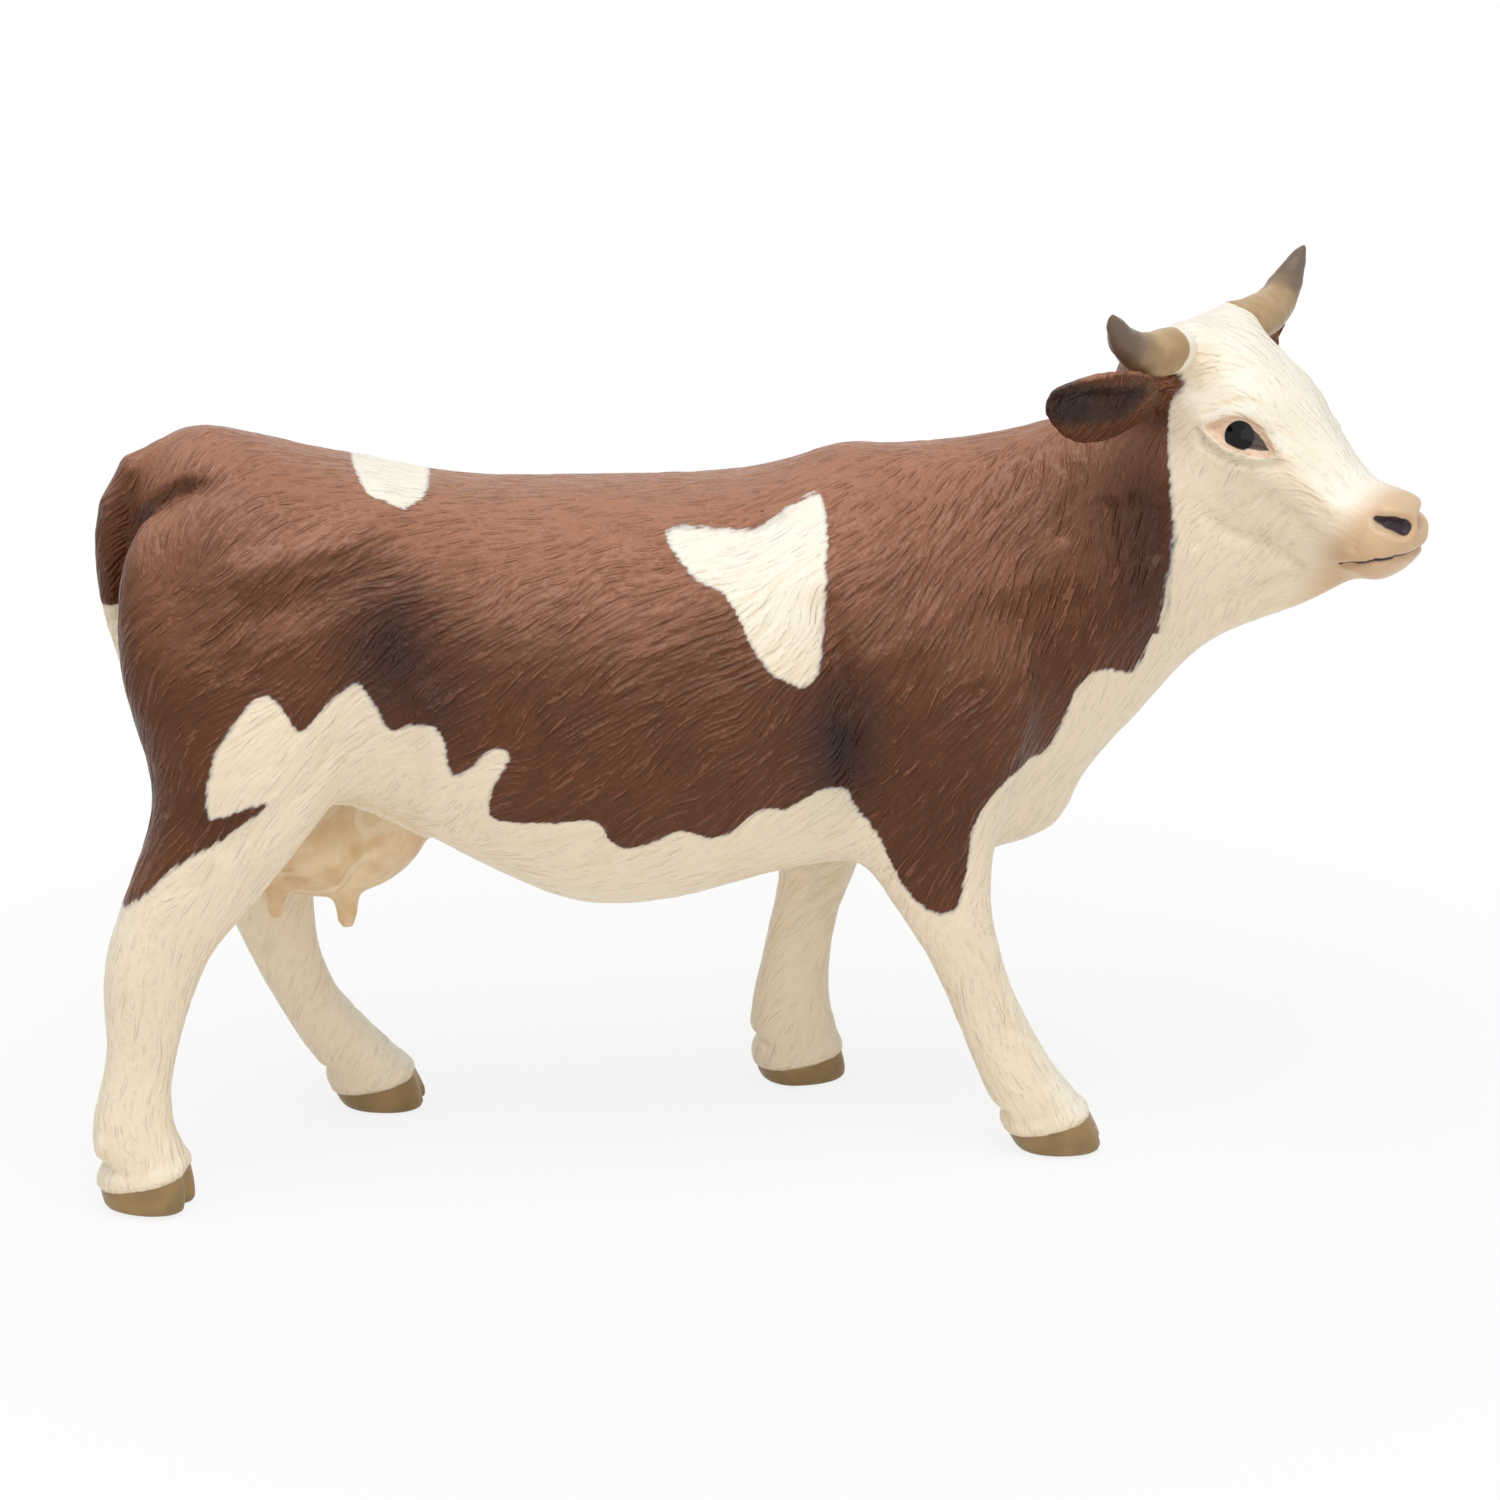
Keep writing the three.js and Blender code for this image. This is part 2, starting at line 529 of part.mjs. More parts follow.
// A horn, a curved cone that rises to its tip, with its peg.
function makeHorn(curve) {
  const horn = hornForm(curve, 0).subtract(skullClear).subtract(trunkClear);
  return horn.add(headPeg(curve, HORN_SEAT_OUT, HORN_PEG_RADIUS, HORN_PEG_LENGTH, 0));
}

// An ear, a cupped leaf that opens to the front, with its peg. It lies clear of the horn above it.
function makeEar(curve, side, hornCurve) {
  const leaf = sweptForm(curve, headUp, (share, angle) => {
    const half = along(EAR_BREADTH, share) * PERCENT * EAR_WIDTH / 2;
    const thick = Math.min(EAR_THICKNESS / 2, half);
    const cup = side * EAR_CUP * Math.sin(angle) ** 2 * half / EAR_WIDTH;
    return [thick * Math.cos(angle) - cup, half * Math.sin(angle)];
  });
  const ear = leaf.subtract(skullClear).subtract(trunkClear).subtract(hornForm(hornCurve, JOINT_GAP));
  return ear.add(headPeg(curve, EAR_SEAT_OUT, EAR_PEG_RADIUS, EAR_PEG_LENGTH, 0));
}

// The cleft between a hoof's two claws, open to the front and to the ground.
function hoofCleft(leg) {
  const outline = new THREE.Shape();
  outline.moveTo(PEG_ROOT, -CLEFT_WIDTH);
  outline.lineTo(PEG_ROOT, CLEFT_WIDTH);
  outline.lineTo(-CLEFT_DEPTH, 0);
  const wedge = new THREE.ExtrudeGeometry(outline, { depth: HOOF_HEIGHT + PEG_ROOT, bevelEnabled: false });
  const sole = legSection(leg, 0);
  wedge.translate(HOOF_LENGTH / 2, 0, -PEG_ROOT).rotateZ(-leg.toe).translate(sole.x, sole.y, 0);
  return toSolid(wedge);
}

// The two dewclaws behind a fetlock.
function dewclaws(leg) {
  const heel = legCentre(leg, leg.claw);
  const claws = [-1, 1].map((side) => {
    const claw = new THREE.SphereGeometry(DEWCLAW_RADIUS, SMALL_SIDES, SMALL_STEPS / 2);
    claw.translate(heel.x - DEWCLAW_BACK, heel.y + side * DEWCLAW_SPREAD / 2, heel.z);
    return toSolid(claw);
  });
  return claws[0].add(claws[1]);
}

function legSeat(leg) {
  return legCentre(leg, leg.seam);
}

// A leg below its seam, with hoof, dewclaws and the peg that goes up into the body.
function makeLeg(leg, form) {
  const seat = pointOn(legSeat(leg), DOWN, JOINT_GAP);
  const lower = form.add(dewclaws(leg)).subtract(beyond(seat, UP)).subtract(trunkClear);
  return lower.subtract(hoofCleft(leg)).add(pegAlong(seat, UP, leg.peg, LEG_PEG_LENGTH));
}

const udderCentre = new THREE.Vector3(UDDER_AHEAD_OF_HIP, 0, 0);
udderCentre.z = bodyAt(udderCentre.x).low * PERCENT * BACK_HEIGHT - UDDER_BELOW_BELLY;

// One teat: a rounded, tapered post that hangs from the udder.
function teat(row, side) {
  const profile = new THREE.Path();
  profile.moveTo(0, 0);
  profile.absarc(0, TEAT_TIP_RADIUS, TEAT_TIP_RADIUS, -Math.PI / 2, 0);
  profile.lineTo(TEAT_RADIUS, TEAT_LENGTH);
  profile.lineTo(0, TEAT_LENGTH);
  const post = new THREE.LatheGeometry(profile.getPoints(TEAT_TIP_STEPS), SMALL_SIDES);
  post.rotateX(Math.PI / 2);
  const x = row * TEAT_SPACING / 2 - TEATS_BEHIND_MIDDLE;
  const y = side * TEAT_SPREAD / 2;
  const share = (2 * x / UDDER_LENGTH) ** 2 + (2 * y / UDDER_WIDTH) ** 2;
  const skin = UDDER_DEPTH / 2 * Math.sqrt(Math.max(1 - share, 0));
  post.translate(udderCentre.x + x, y, udderCentre.z - skin - TEAT_LENGTH + PEG_ROOT);
  return toSolid(post);
}

function udderPeg(clearance) {
  return pegAlong(udderCentre, UP, UDDER_PEG_RADIUS, UDDER_DEPTH / 2 + UDDER_PEG_LENGTH, clearance);
}

// Udder: a bag with four teats, between the hind legs.
function makeUdder() {
  const bag = new THREE.SphereGeometry(1, 2 * SMALL_SIDES, SMALL_SIDES).rotateX(Math.PI / 2);
  bag.scale(UDDER_LENGTH / 2, UDDER_WIDTH / 2, UDDER_DEPTH / 2);
  bag.translate(udderCentre.x, udderCentre.y, udderCentre.z);
  let udder = toSolid(bag);
  for (const row of [-1, 1]) {
    for (const side of [-1, 1]) {
      udder = udder.add(teat(row, side));
    }
  }
  udder = udder.subtract(trunkClear);
  for (const leg of legsClear) {
    udder = udder.subtract(leg);
  }
  return udder.add(udderPeg(0));
}

// The tail's middle line, from its root on the rump.
function tailCurve() {
  const root = new THREE.Vector3(RUMP_X + TAIL_REACH - TAIL_RADIUS, 0, BACK_HEIGHT - TAIL_RADIUS);
  const points = TAIL_PATH.map(([back, left, down]) => {
    const step = new THREE.Vector3(-back * TAIL_REACH, left * TAIL_REACH, -down * TAIL_DROP);
    return step.multiplyScalar(PERCENT).add(root);
  });
  return new THREE.CatmullRomCurve3(points);
}

function tailPeg(clearance) {
  const curve = tailCurve();
  const seat = curve.getPointAt(TAIL_REACH / curve.getLength());
  return pegAlong(seat, FORWARD, TAIL_PEG_RADIUS, TAIL_RADIUS + TAIL_PEG_LENGTH, clearance);
}

function makeTail() {
  let tail = sweptForm(tailCurve(), LEFT, (share, angle) => {
    const radius = along(TAIL_THICKNESS, share) * PERCENT * TAIL_RADIUS;
    return [radius * Math.cos(angle), radius * Math.sin(angle)];
  });
  tail = tail.subtract(trunkClear);
  for (const leg of legsClear) {
    tail = tail.subtract(leg);
  }
  return tail.add(tailPeg(0));
}

// Body: the trunk and the tops of the legs, with the sockets for every piece it carries.
function makeBody() {
  let body = trunk.subtract(beyond(neckCentre, neckDirection));
  LEGS.forEach((leg, i) => {
    body = body.add(legForms[i].subtract(beyond(legSeat(leg), DOWN)));
  });
  for (const leg of LEGS) {
    body = body.subtract(pegAlong(legSeat(leg), UP, leg.peg, LEG_PEG_LENGTH, JOINT_GAP));
  }
  body = body.subtract(pegAlong(neckCentre, neckBack, NECK_PEG_RADIUS, NECK_PEG_LENGTH, JOINT_GAP));
  return body.subtract(udderPeg(JOINT_GAP)).subtract(tailPeg(JOINT_GAP));
}

const brownPaint = new THREE.MeshStandardMaterial({ color: 0x84492f, roughness: 0.55, metalness: 0 });
const creamPaint = new THREE.MeshStandardMaterial({ color: 0xefe4cd, roughness: 0.55, metalness: 0 });
const hornPaint = new THREE.MeshStandardMaterial({ color: 0xb39a78, roughness: 0.5, metalness: 0 });
const udderPaint = new THREE.MeshStandardMaterial({ color: 0xe6c0a6, roughness: 0.5, metalness: 0 });

const cow = new THREE.Group();
cow.add(headFrame);

function settle(name, solid, material, group) {
  const mesh = new THREE.Mesh(toGeometry(solid, group), material);
  mesh.name = name;
  group.add(mesh);
}

settle('body', makeBody(), brownPaint, cow);
LEGS.forEach((leg, i) => {
  const place = new THREE.Group();
  place.position.copy(legSeat(leg));
  cow.add(place);
  settle(leg.name, makeLeg(leg, legForms[i]), creamPaint, place);
});
settle('udder', makeUdder(), udderPaint, cow);
settle('tail', makeTail(), brownPaint, cow);

let head = makeHead();
const SIDES = [
  { name: 'right', side: -1, earPath: RIGHT_EAR_PATH },
  { name: 'left', side: 1, earPath: LEFT_EAR_PATH },
];
for (const { name, side, earPath } of SIDES) {
  const hornCurve = headCurve(HORN_PATH, HORN_LENGTH, hornSeat, side);
  const earCurve = headCurve(earPath, EAR_LENGTH, earSeat, side);
  head = head.subtract(headPeg(hornCurve, HORN_SEAT_OUT, HORN_PEG_RADIUS, HORN_PEG_LENGTH, JOINT_GAP));
  head = head.subtract(headPeg(earCurve, EAR_SEAT_OUT, EAR_PEG_RADIUS, EAR_PEG_LENGTH, JOINT_GAP));
  settle(`horn_${name}`, makeHorn(hornCurve), hornPaint, headFrame);
  settle(`ear_${name}`, makeEar(earCurve, side, hornCurve), brownPaint, headFrame);
}
settle('head', head, creamPaint, headFrame);

// The origin is the middle of the ground that the figurine covers.
const box = new THREE.Box3().setFromObject(cow, true);
const middle = box.getCenter(new THREE.Vector3());
cow.position.set(-middle.x, -middle.y, -box.min.z);

export default cow;
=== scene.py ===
"""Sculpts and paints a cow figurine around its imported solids, and sets it in a white studio.

The pieces' solids are joined into one soft skin, which is sculpted, combed into a coat of short
strokes and parted again into the figurine's own pieces. Lengths are in millimetres until a piece
is made, +X to the cow's front, +Y to its left, +Z up.
"""

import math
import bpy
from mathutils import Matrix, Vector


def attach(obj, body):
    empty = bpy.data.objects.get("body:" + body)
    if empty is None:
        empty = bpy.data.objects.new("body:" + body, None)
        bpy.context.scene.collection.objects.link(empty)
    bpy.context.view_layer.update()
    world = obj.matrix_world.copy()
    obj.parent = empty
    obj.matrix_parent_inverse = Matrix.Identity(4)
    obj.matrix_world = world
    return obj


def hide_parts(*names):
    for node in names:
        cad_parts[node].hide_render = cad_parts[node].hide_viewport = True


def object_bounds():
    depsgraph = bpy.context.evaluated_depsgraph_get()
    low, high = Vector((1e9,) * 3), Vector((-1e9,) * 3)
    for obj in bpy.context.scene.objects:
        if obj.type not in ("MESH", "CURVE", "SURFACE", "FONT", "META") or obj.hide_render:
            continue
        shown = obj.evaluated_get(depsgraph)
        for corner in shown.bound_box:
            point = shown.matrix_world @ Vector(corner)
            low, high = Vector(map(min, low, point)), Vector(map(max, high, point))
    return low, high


bl_info = {
    "name": "Painted cow figurine",
    "version": (1, 0, 0),
    "blender": (4, 5, 0),
    "location": "3D View > Sidebar > Figurine",
    "description": "Sculpts and paints a cow figurine and sets it in a white studio",
    "category": "Object",
}

import bpy
import numpy as np
import openvdb
from bpy.props import FloatProperty, FloatVectorProperty, IntProperty, PointerProperty
from mathutils import Vector
from mathutils.kdtree import KDTree

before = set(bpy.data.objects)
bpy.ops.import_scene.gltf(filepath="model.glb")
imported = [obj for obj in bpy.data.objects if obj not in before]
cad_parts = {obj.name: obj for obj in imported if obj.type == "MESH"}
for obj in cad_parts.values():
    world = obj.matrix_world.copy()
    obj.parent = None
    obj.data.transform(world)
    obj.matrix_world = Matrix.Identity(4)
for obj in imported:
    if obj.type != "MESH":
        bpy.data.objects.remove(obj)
CAD_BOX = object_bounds()

MM = 0.001
RIGHT, LEFT = -1, 1

# The voxel grid that the skin is joined on.
STEP = 0.5
BAND = 6.0
GRID_START = np.floor((np.array(CAD_BOX[0]) / MM - BAND) / STEP).astype(int)
GRID_END = np.ceil((np.array(CAD_BOX[1]) / MM + BAND) / STEP).astype(int)
GRID_SHAPE = tuple(GRID_END - GRID_START + 1)
# The last place on the grid that still has a grid point beyond it.
GRID_LAST = np.array(GRID_SHAPE) - 1.001

# The head's own frame: its origin at the poll, then forward to the nose, left and up.
POLL = np.array([51.2, -2.9, 90.5])
HEAD_TURN = math.radians(45.8)
HEAD_NOD = math.radians(34)
HEAD_FORWARD = np.array([
    math.cos(HEAD_NOD) * math.cos(HEAD_TURN),
    -math.cos(HEAD_NOD) * math.sin(HEAD_TURN),
    -math.sin(HEAD_NOD),
])
HEAD_LEFT = np.array([math.sin(HEAD_TURN), math.cos(HEAD_TURN), 0])
HEAD_UP = np.cross(HEAD_FORWARD, HEAD_LEFT)
HEAD_AXES = np.stack([HEAD_FORWARD, HEAD_LEFT, HEAD_UP])

# The middle plane of the trunk.
MIDDLE = 2.1

# What stands for far outside, where an outline or a path doesn't count.
FAR = 9.0


def smooth(low, high, value):
    """0 below low, 1 above high and a soft step between them."""
    share = np.clip((value - low) / (high - low), 0, 1)
    return share * share * (3 - 2 * share)


def unit(rows):
    """Directions with a length of 1."""
    return rows / np.maximum(np.linalg.norm(rows, axis=1, keepdims=True), 1e-9)


def head_place(points):
    """Points in the head's own frame."""
    return (points - POLL) @ HEAD_AXES.T


def from_head(place):
    """The point that has a place in the head's own frame."""
    return POLL + place @ HEAD_AXES


# Joining the solids into one skin.


def read(rows, key, kind, width=1):
    """What a mesh's points, corners or faces say under a key, each with a width of numbers."""
    numbers = np.empty(width * len(rows), kind)
    rows.foreach_get(key, numbers)
    return numbers if width == 1 else numbers.reshape(-1, width)


def node_mesh(name):
    """The points, in millimetres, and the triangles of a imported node."""
    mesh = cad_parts[name].data
    mesh.calc_loop_triangles()
    points = read(mesh.vertices, "co", np.float32, 3) / np.float32(MM)
    return points, read(mesh.loop_triangles, "vertices", np.int32, 3).astype(np.uint32)


def distances(points, triangles=None, quads=None):
    """Signed distances to a closed mesh, over the grid."""
    grid = openvdb.FloatGrid.createLevelSetFromPolygons(
        points, triangles, quads, openvdb.createLinearTransform(STEP), BAND / STEP
    )
    block = np.empty(GRID_SHAPE, np.float32)
    grid.copyToArray(block, tuple(GRID_START))
    return block


def surface(block, level=0.0):
    """The points and quads where a block of distances has a level."""
    grid = openvdb.FloatGrid(BAND)
    grid.copyFromArray(np.ascontiguousarray(block), tuple(GRID_START))
    grid.transform = openvdb.createLinearTransform(STEP)
    return grid.convertToQuads(level)


def softened(block, radius):
    """A block blurred over a radius."""
    reach = math.ceil(2.5 * radius / STEP)
    shifts = np.arange(-reach, reach + 1)
    weights = np.exp(-0.5 * (shifts * STEP / radius) ** 2).astype(np.float32)
    weights /= weights.sum()
    for axis in range(3):
        total = np.zeros_like(block)
        for shift, weight in zip(shifts, weights):
            total += weight * np.roll(block, shift, axis)
        block = total
    return block


def between(block, low, high, share):
    """A block's values between the eight of its points round each place."""
    strides = (block.shape[1] * block.shape[2], block.shape[2], 1)
    ends = [(low[:, k] * strides[k], high[:, k] * strides[k]) for k in range(3)]
    weights = [(1 - share[:, k], share[:, k]) for k in range(3)]
    flat = block.ravel()
    total = np.zeros(len(share), np.float32)
    for i, j, k in np.ndindex(2, 2, 2):
        weight = weights[0][i] * weights[1][j] * weights[2][k]
        total += weight * flat[ends[0][i] + ends[1][j] + ends[2][k]]
    return total


def sampled(block, points):
    """The values at points of a block over the grid."""
    place = np.clip(points / STEP - GRID_START, 0, GRID_LAST)
    low = place.astype(np.int64)
    return between(block, low, low + 1, (place - low).astype(np.float32))


def tiled(noise, points):
    """The values of a repeating block of noise, at points in its own cells."""
    low = np.floor(points).astype(np.int64)
    size = len(noise)
    return between(noise, low % size, (low + 1) % size, (points - low).astype(np.float32))


def soft_union(first, second, radius):
    """The joined distances of two solids, with a fillet where they meet."""
    overlap = np.maximum(radius - np.abs(first - second), 0) / radius
    return np.minimum(first, second) - overlap * overlap * radius / 4


def new_mesh(name, points, faces):
    """A mesh from points in millimetres and faces that are rows of three or four points."""
    corners = np.concatenate([rows.ravel() for rows in faces]).astype(np.int32)
    sizes = np.concatenate([np.full(len(rows), rows.shape[1]) for rows in faces])
    starts = np.concatenate([[0], np.cumsum(sizes)[:-1]]).astype(np.int32)
    mesh = bpy.data.meshes.new(name)
    mesh.vertices.add(len(points))
    mesh.vertices.foreach_set("co", (points * MM).astype(np.float32).ravel())
    mesh.loops.add(len(corners))
    mesh.loops.foreach_set("vertex_index", corners)
    mesh.polygons.add(len(starts))
    mesh.polygons.foreach_set("loop_start", starts)
    mesh.update(calc_edges=True)
    return mesh


def mesh_points(mesh):
    """A mesh's points, in millimetres."""
    return read(mesh.vertices, "co", np.float32, 3).astype(float) / MM


def link(name, data):
    """An object in the scene that shows a mesh, a lamp or a camera."""
    thing = bpy.data.objects.new(name, data)
    bpy.context.scene.collection.objects.link(thing)
    return thing


def evaluated(thing):
    """The object's mesh with its modifiers, as a mesh of its own."""
    graph = bpy.context.evaluated_depsgraph_get()
    return bpy.data.meshes.new_from_object(thing.evaluated_get(graph), depsgraph=graph)


def summed(index, rows, count):
    """The sums of the rows that share an index."""
    return np.stack([np.bincount(index, rows[:, axis], count) for axis in range(3)], 1)


def subdivided(points, quads):
    """The points and quads of a smooth closed surface with each quad split into four."""
    count = len(points)
    ends = np.stack([quads, np.roll(quads, -1, 1)], 2).astype(np.int64)
    codes, edge = np.unique(ends.min(2) * count + ends.max(2), return_inverse=True)
    edge = edge.reshape(-1, 4)
    first, second = codes // count, codes % count
    faces = points[quads].mean(1)
    around = np.repeat(faces, 4, 0)
    middles = (points[first] + points[second]) / 2
    beside = summed(edge.ravel(), around, len(codes)) / np.bincount(edge.ravel())[:, None]
    valence = np.bincount(quads.ravel(), minlength=count)[:, None]
    spokes = summed(first, middles, count) + summed(second, middles, count)
    fans = summed(quads.ravel(), around, count)
    corners = (fans / valence + 2 * spokes / valence + (valence - 3) * points) / valence
    face_index = count + len(codes) + np.arange(len(quads))
    parts = [
        np.stack([quads[:, k], count + edge[:, k], face_index, count + edge[:, k - 1]], 1)
        for k in range(4)
    ]
    return np.concatenate([corners, (middles + beside) / 2, faces]), np.concatenate(parts)


def point_normals(points, quads):
    """The outward direction of a skin at each of its points."""
    corners = points[quads]
    faces = np.cross(corners[:, 2] - corners[:, 0], corners[:, 3] - corners[:, 1])
    return unit(summed(quads.ravel(), np.repeat(faces, 4, 0), len(points)))


MAIN_NODES = ["body", "head", "foreleg_right", "foreleg_left", "hindleg_right", "hindleg_left"]
FINE_NODES = ["ear_right", "ear_left", "udder", "tail"]
NODES = MAIN_NODES + FINE_NODES

# The heights between which the lean legs turn into the filleted trunk, and how far each is softened.
TRUNK_RISE = (24, 33)
LEG_SOFTNESS = 0.5
TRUNK_SOFTNESS = 1.1
SKIN_SOFTNESS = 0.4


def joined_field(blocks, settings):
    """The distances of one skin round all the solids, filleted where they meet."""
    main = np.minimum.reduce([blocks[name] for name in MAIN_NODES])
    fillet = settings.fillet / MM
    points, quads = surface(main, fillet)
    filled = distances(points, quads=quads) + fillet
    height = (GRID_START[2] + np.arange(GRID_SHAPE[2])) * STEP
    upper = smooth(*TRUNK_RISE, height).astype(np.float32)
    trunk = softened(main * (1 - upper) + filled * upper, TRUNK_SOFTNESS)
    base = softened(main, LEG_SOFTNESS) * (1 - upper) + trunk * upper
    for name in FINE_NODES:
        base = soft_union(base, blocks[name], settings.root_fillet / MM)
    return softened(base, SKIN_SOFTNESS)


# Which way the hair lies: places on the right side, and the direction there.
HAIR = [
    ((-60, -8, 76), (-0.6, -0.4, -0.7)),
    ((-40, -8, 75), (-0.95, -0.25, -0.2)),
    ((-10, -8, 73), (-0.97, -0.2, -0.15)),
    ((10, -8, 73), (-0.8, -0.4, -0.45)),
    ((-58, -15, 62), (-0.75, 0, -0.65)),
    ((-40, -17, 60), (-0.86, 0, -0.5)),
    ((-20, -19, 60), (-0.88, 0, -0.47)),
    ((0, -18, 60), (-0.84, 0, -0.54)),
    ((15, -16, 60), (-0.7, 0, -0.71)),
    ((-40, -16, 48), (-0.8, 0, -0.6)),
    ((-15, -18, 45), (-0.82, 0, -0.57)),
    ((5, -17, 46), (-0.8, 0, -0.6)),
    ((18, -15, 48), (-0.72, 0, -0.7)),
    ((25, -10, 70), (-0.5, -0.2, -0.85)),
    ((36, -10, 72), (-0.25, -0.2, -0.95)),
    ((40, -10, 60), (-0.3, 0, -0.95)),
    ((32, -8, 46), (-0.6, 0, -0.8)),
    ((-20, 0, 29), (-1, 0, 0)),
    ((10, 0, 32), (-1, 0, 0)),
    ((20, -15, 34), (-0.55, 0, -0.83)),
    ((24, -14, 24), (0.3, 0, -0.95)),
    ((31, -13, 8), (0.3, 0, -0.95)),
    ((-60, -15, 42), (-0.6, 0, -0.8)),
    ((-63, -14, 24), (-0.2, 0, -0.98)),
    ((-66, -12, 8), (0, 0, -1)),
    ((60, -14, 80), (-0.6, 0.55, 0.55)),
    ((52, -14, 72), (-0.6, 0.2, -0.75)),
    ((66, -20, 74), (-0.6, 0.55, 0.55)),
]
# How soon another place in the list takes over, in square millimetres.
HAIR_REACH = 20
# How much the hair's way wanders, over what distance, and the noise for it.
SWIRL = 0.3
SWIRL_SIZE = 4.5
SWIRL_SEED = 3
SWIRL_CELLS = (32, 32, 32)
# The noise that the strokes are combed from, and the places along each stroke.
STROKE_CELLS = (64, 64, 64)
STROKE_PLACES = np.linspace(-1, 1, 13)
# The finer strokes' size and strength beside the broad ones, and the most of both.
FINE_SIZE = 0.6
FINE_STRENGTH = 0.45
STROKE_MOST = 2
# How deep the strokes are on the head and the udder, as a share of those on the trunk, and how much
# less deep on the muzzle and at the eyes.
HEAD_STROKES = 0.65
UDDER_STROKES = 0.2
MUZZLE_LESS = 0.5
EYE_LESS = 0.85


def hair_direction(points, normals):
    """The way that the hair lies at each point, along the skin."""
    total = np.zeros_like(points)
    for place, direction in HAIR:
        for side in (RIGHT, LEFT):
            across = np.array([1, -side, 1])
            centre = np.array(place) * across + np.array([0, (1 + side) * MIDDLE, 0])
            gap = ((points - centre) ** 2).sum(1)
            total += ((gap + HAIR_REACH) ** -2)[:, None] * (np.array(direction) * across)
    total = unit(total)
    noise = np.random.default_rng(SWIRL_SEED).standard_normal((3, *SWIRL_CELLS))
    total += SWIRL * np.stack([tiled(block, points / SWIRL_SIZE) for block in noise], 1)
    total -= (total * normals).sum(1, keepdims=True) * normals
    return unit(total)


def combed(points, direction, spacing, length, seed):
    """Strokes along the hair, about 1 high: noise averaged along each hair's length."""
    noise = np.random.default_rng(seed).standard_normal(STROKE_CELLS).astype(np.float32)
    total = np.zeros(len(points), np.float32)
    for share in STROKE_PLACES:
        along = points + direction * (share * length / 2)
        total += (1 - share * share) * tiled(noise, along / spacing)
    return total / total.std()


# Sculpting the skin.

# The neck turns to the right, so the line between the cow's two sides leaves the middle plane.
NECK_X = [33.5, 38.7, 43.8, 48.9, 52.8, 56.6, 60.4, 63.6]
NECK_Y = [1.8, 0.6, -1, -2.9, -5, -8.1, -11.3, -14.4]

# Soft forms on both sides of the back: their place along, out from the middle and up, their reach
# there, and their height.
BACK_FORMS = [
    ((-60, 0, 81), (7, 3, 4), 0.6),
    ((-61, 8, 78), (5, 2.6, 3.5), -1.0),
    ((12, 0, 77), (5, 6, 4), 1.2),
    ((-66, 0, 50), (4, 4, 8), -1.0),
    ((32.5, 0, 37), (5, 4.5, 5), 3.0),
    ((-64.5, 0, 77.5), (5, 5, 5), -0.4),
]

# The crease beside the root of the tail: along, out from the middle and up.
TAIL_CREASE = [
    (-54.5, 9.2, 79), (-59.6, 8, 78.4), (-62.4, 6.8, 76.4), (-64.6, 5, 73), (-66, 3.2, 68),
    (-66.6, 2.6, 62),
]
CREASE_DEPTH = 1.2
CREASE_WIDTH = 1.0
# How far behind the middle it begins and is whole.
CREASE_FADE = (54.5, 61)

# Folds of skin on both flanks: their line along and up, their width and depth.
FLANK_FOLDS = [
    ([(7, 64), (8.8, 54), (9.5, 46), (11.5, 39)], 1.5, -0.7),
    ([(35.8, 75.1), (34.5, 71.7), (33.8, 69.1)], 0.8, -0.3),
    ([(38.6, 71.9), (38.7, 67.4), (39.5, 60)], 0.9, -0.4),
    ([(41.4, 72.5), (41.1, 69.3), (41.6, 61)], 0.9, -0.4),
    ([(43.3, 71.6), (43.2, 67.4)], 0.8, -0.35),
    ([(-36, 57), (-34.5, 50), (-35.5, 44)], 1.6, 0.5),
    ([(-45, 52), (-50, 46), (-57, 42)], 1.6, -0.4),
    ([(-54, 70.5), (-45, 73), (-38.5, 75)], 1.8, 0.5),
    ([(-53, 66), (-45, 68.5), (-40, 70)], 2.0, -0.4),
    ([(12, 58), (20, 63), (28, 64)], 2.5, 0.3),
    ([(19, 50), (19.5, 58)], 4.5, 0.7),
    ([(26, 45), (27, 50)], 3.5, 0.5),
    ([(31.5, 50), (33.5, 62)], 2.2, -0.5),
    ([(13.5, 38.5), (17.5, 43)], 2.2, 0.35),
]

# Forms on both sides of the head, in its own frame: place, reach and height.
FACE_FORMS = [
    ((0.3, -5.6, -0.4), (3.2, 3.2, 2.6), 1.6),
    ((12, -6.4, -0.6), (3.4, 2.2, 1.8), 0.8),
    ((4.5, -8.5, -2.5), (3, 3, 3.5), -1.6),
    ((9, 0, 3), (5, 3, 4), -0.4),
    ((9, -8.5, -13), (5, 4, 5), 1.0),
    ((20, -5.5, -8), (5, 2.5, 2), -0.8),
    ((29.5, -3.4, 0.4), (2, 1.6, 1.2), 0.5),
    ((20, 0, 0.5), (7, 2, 4), 0.3),
]

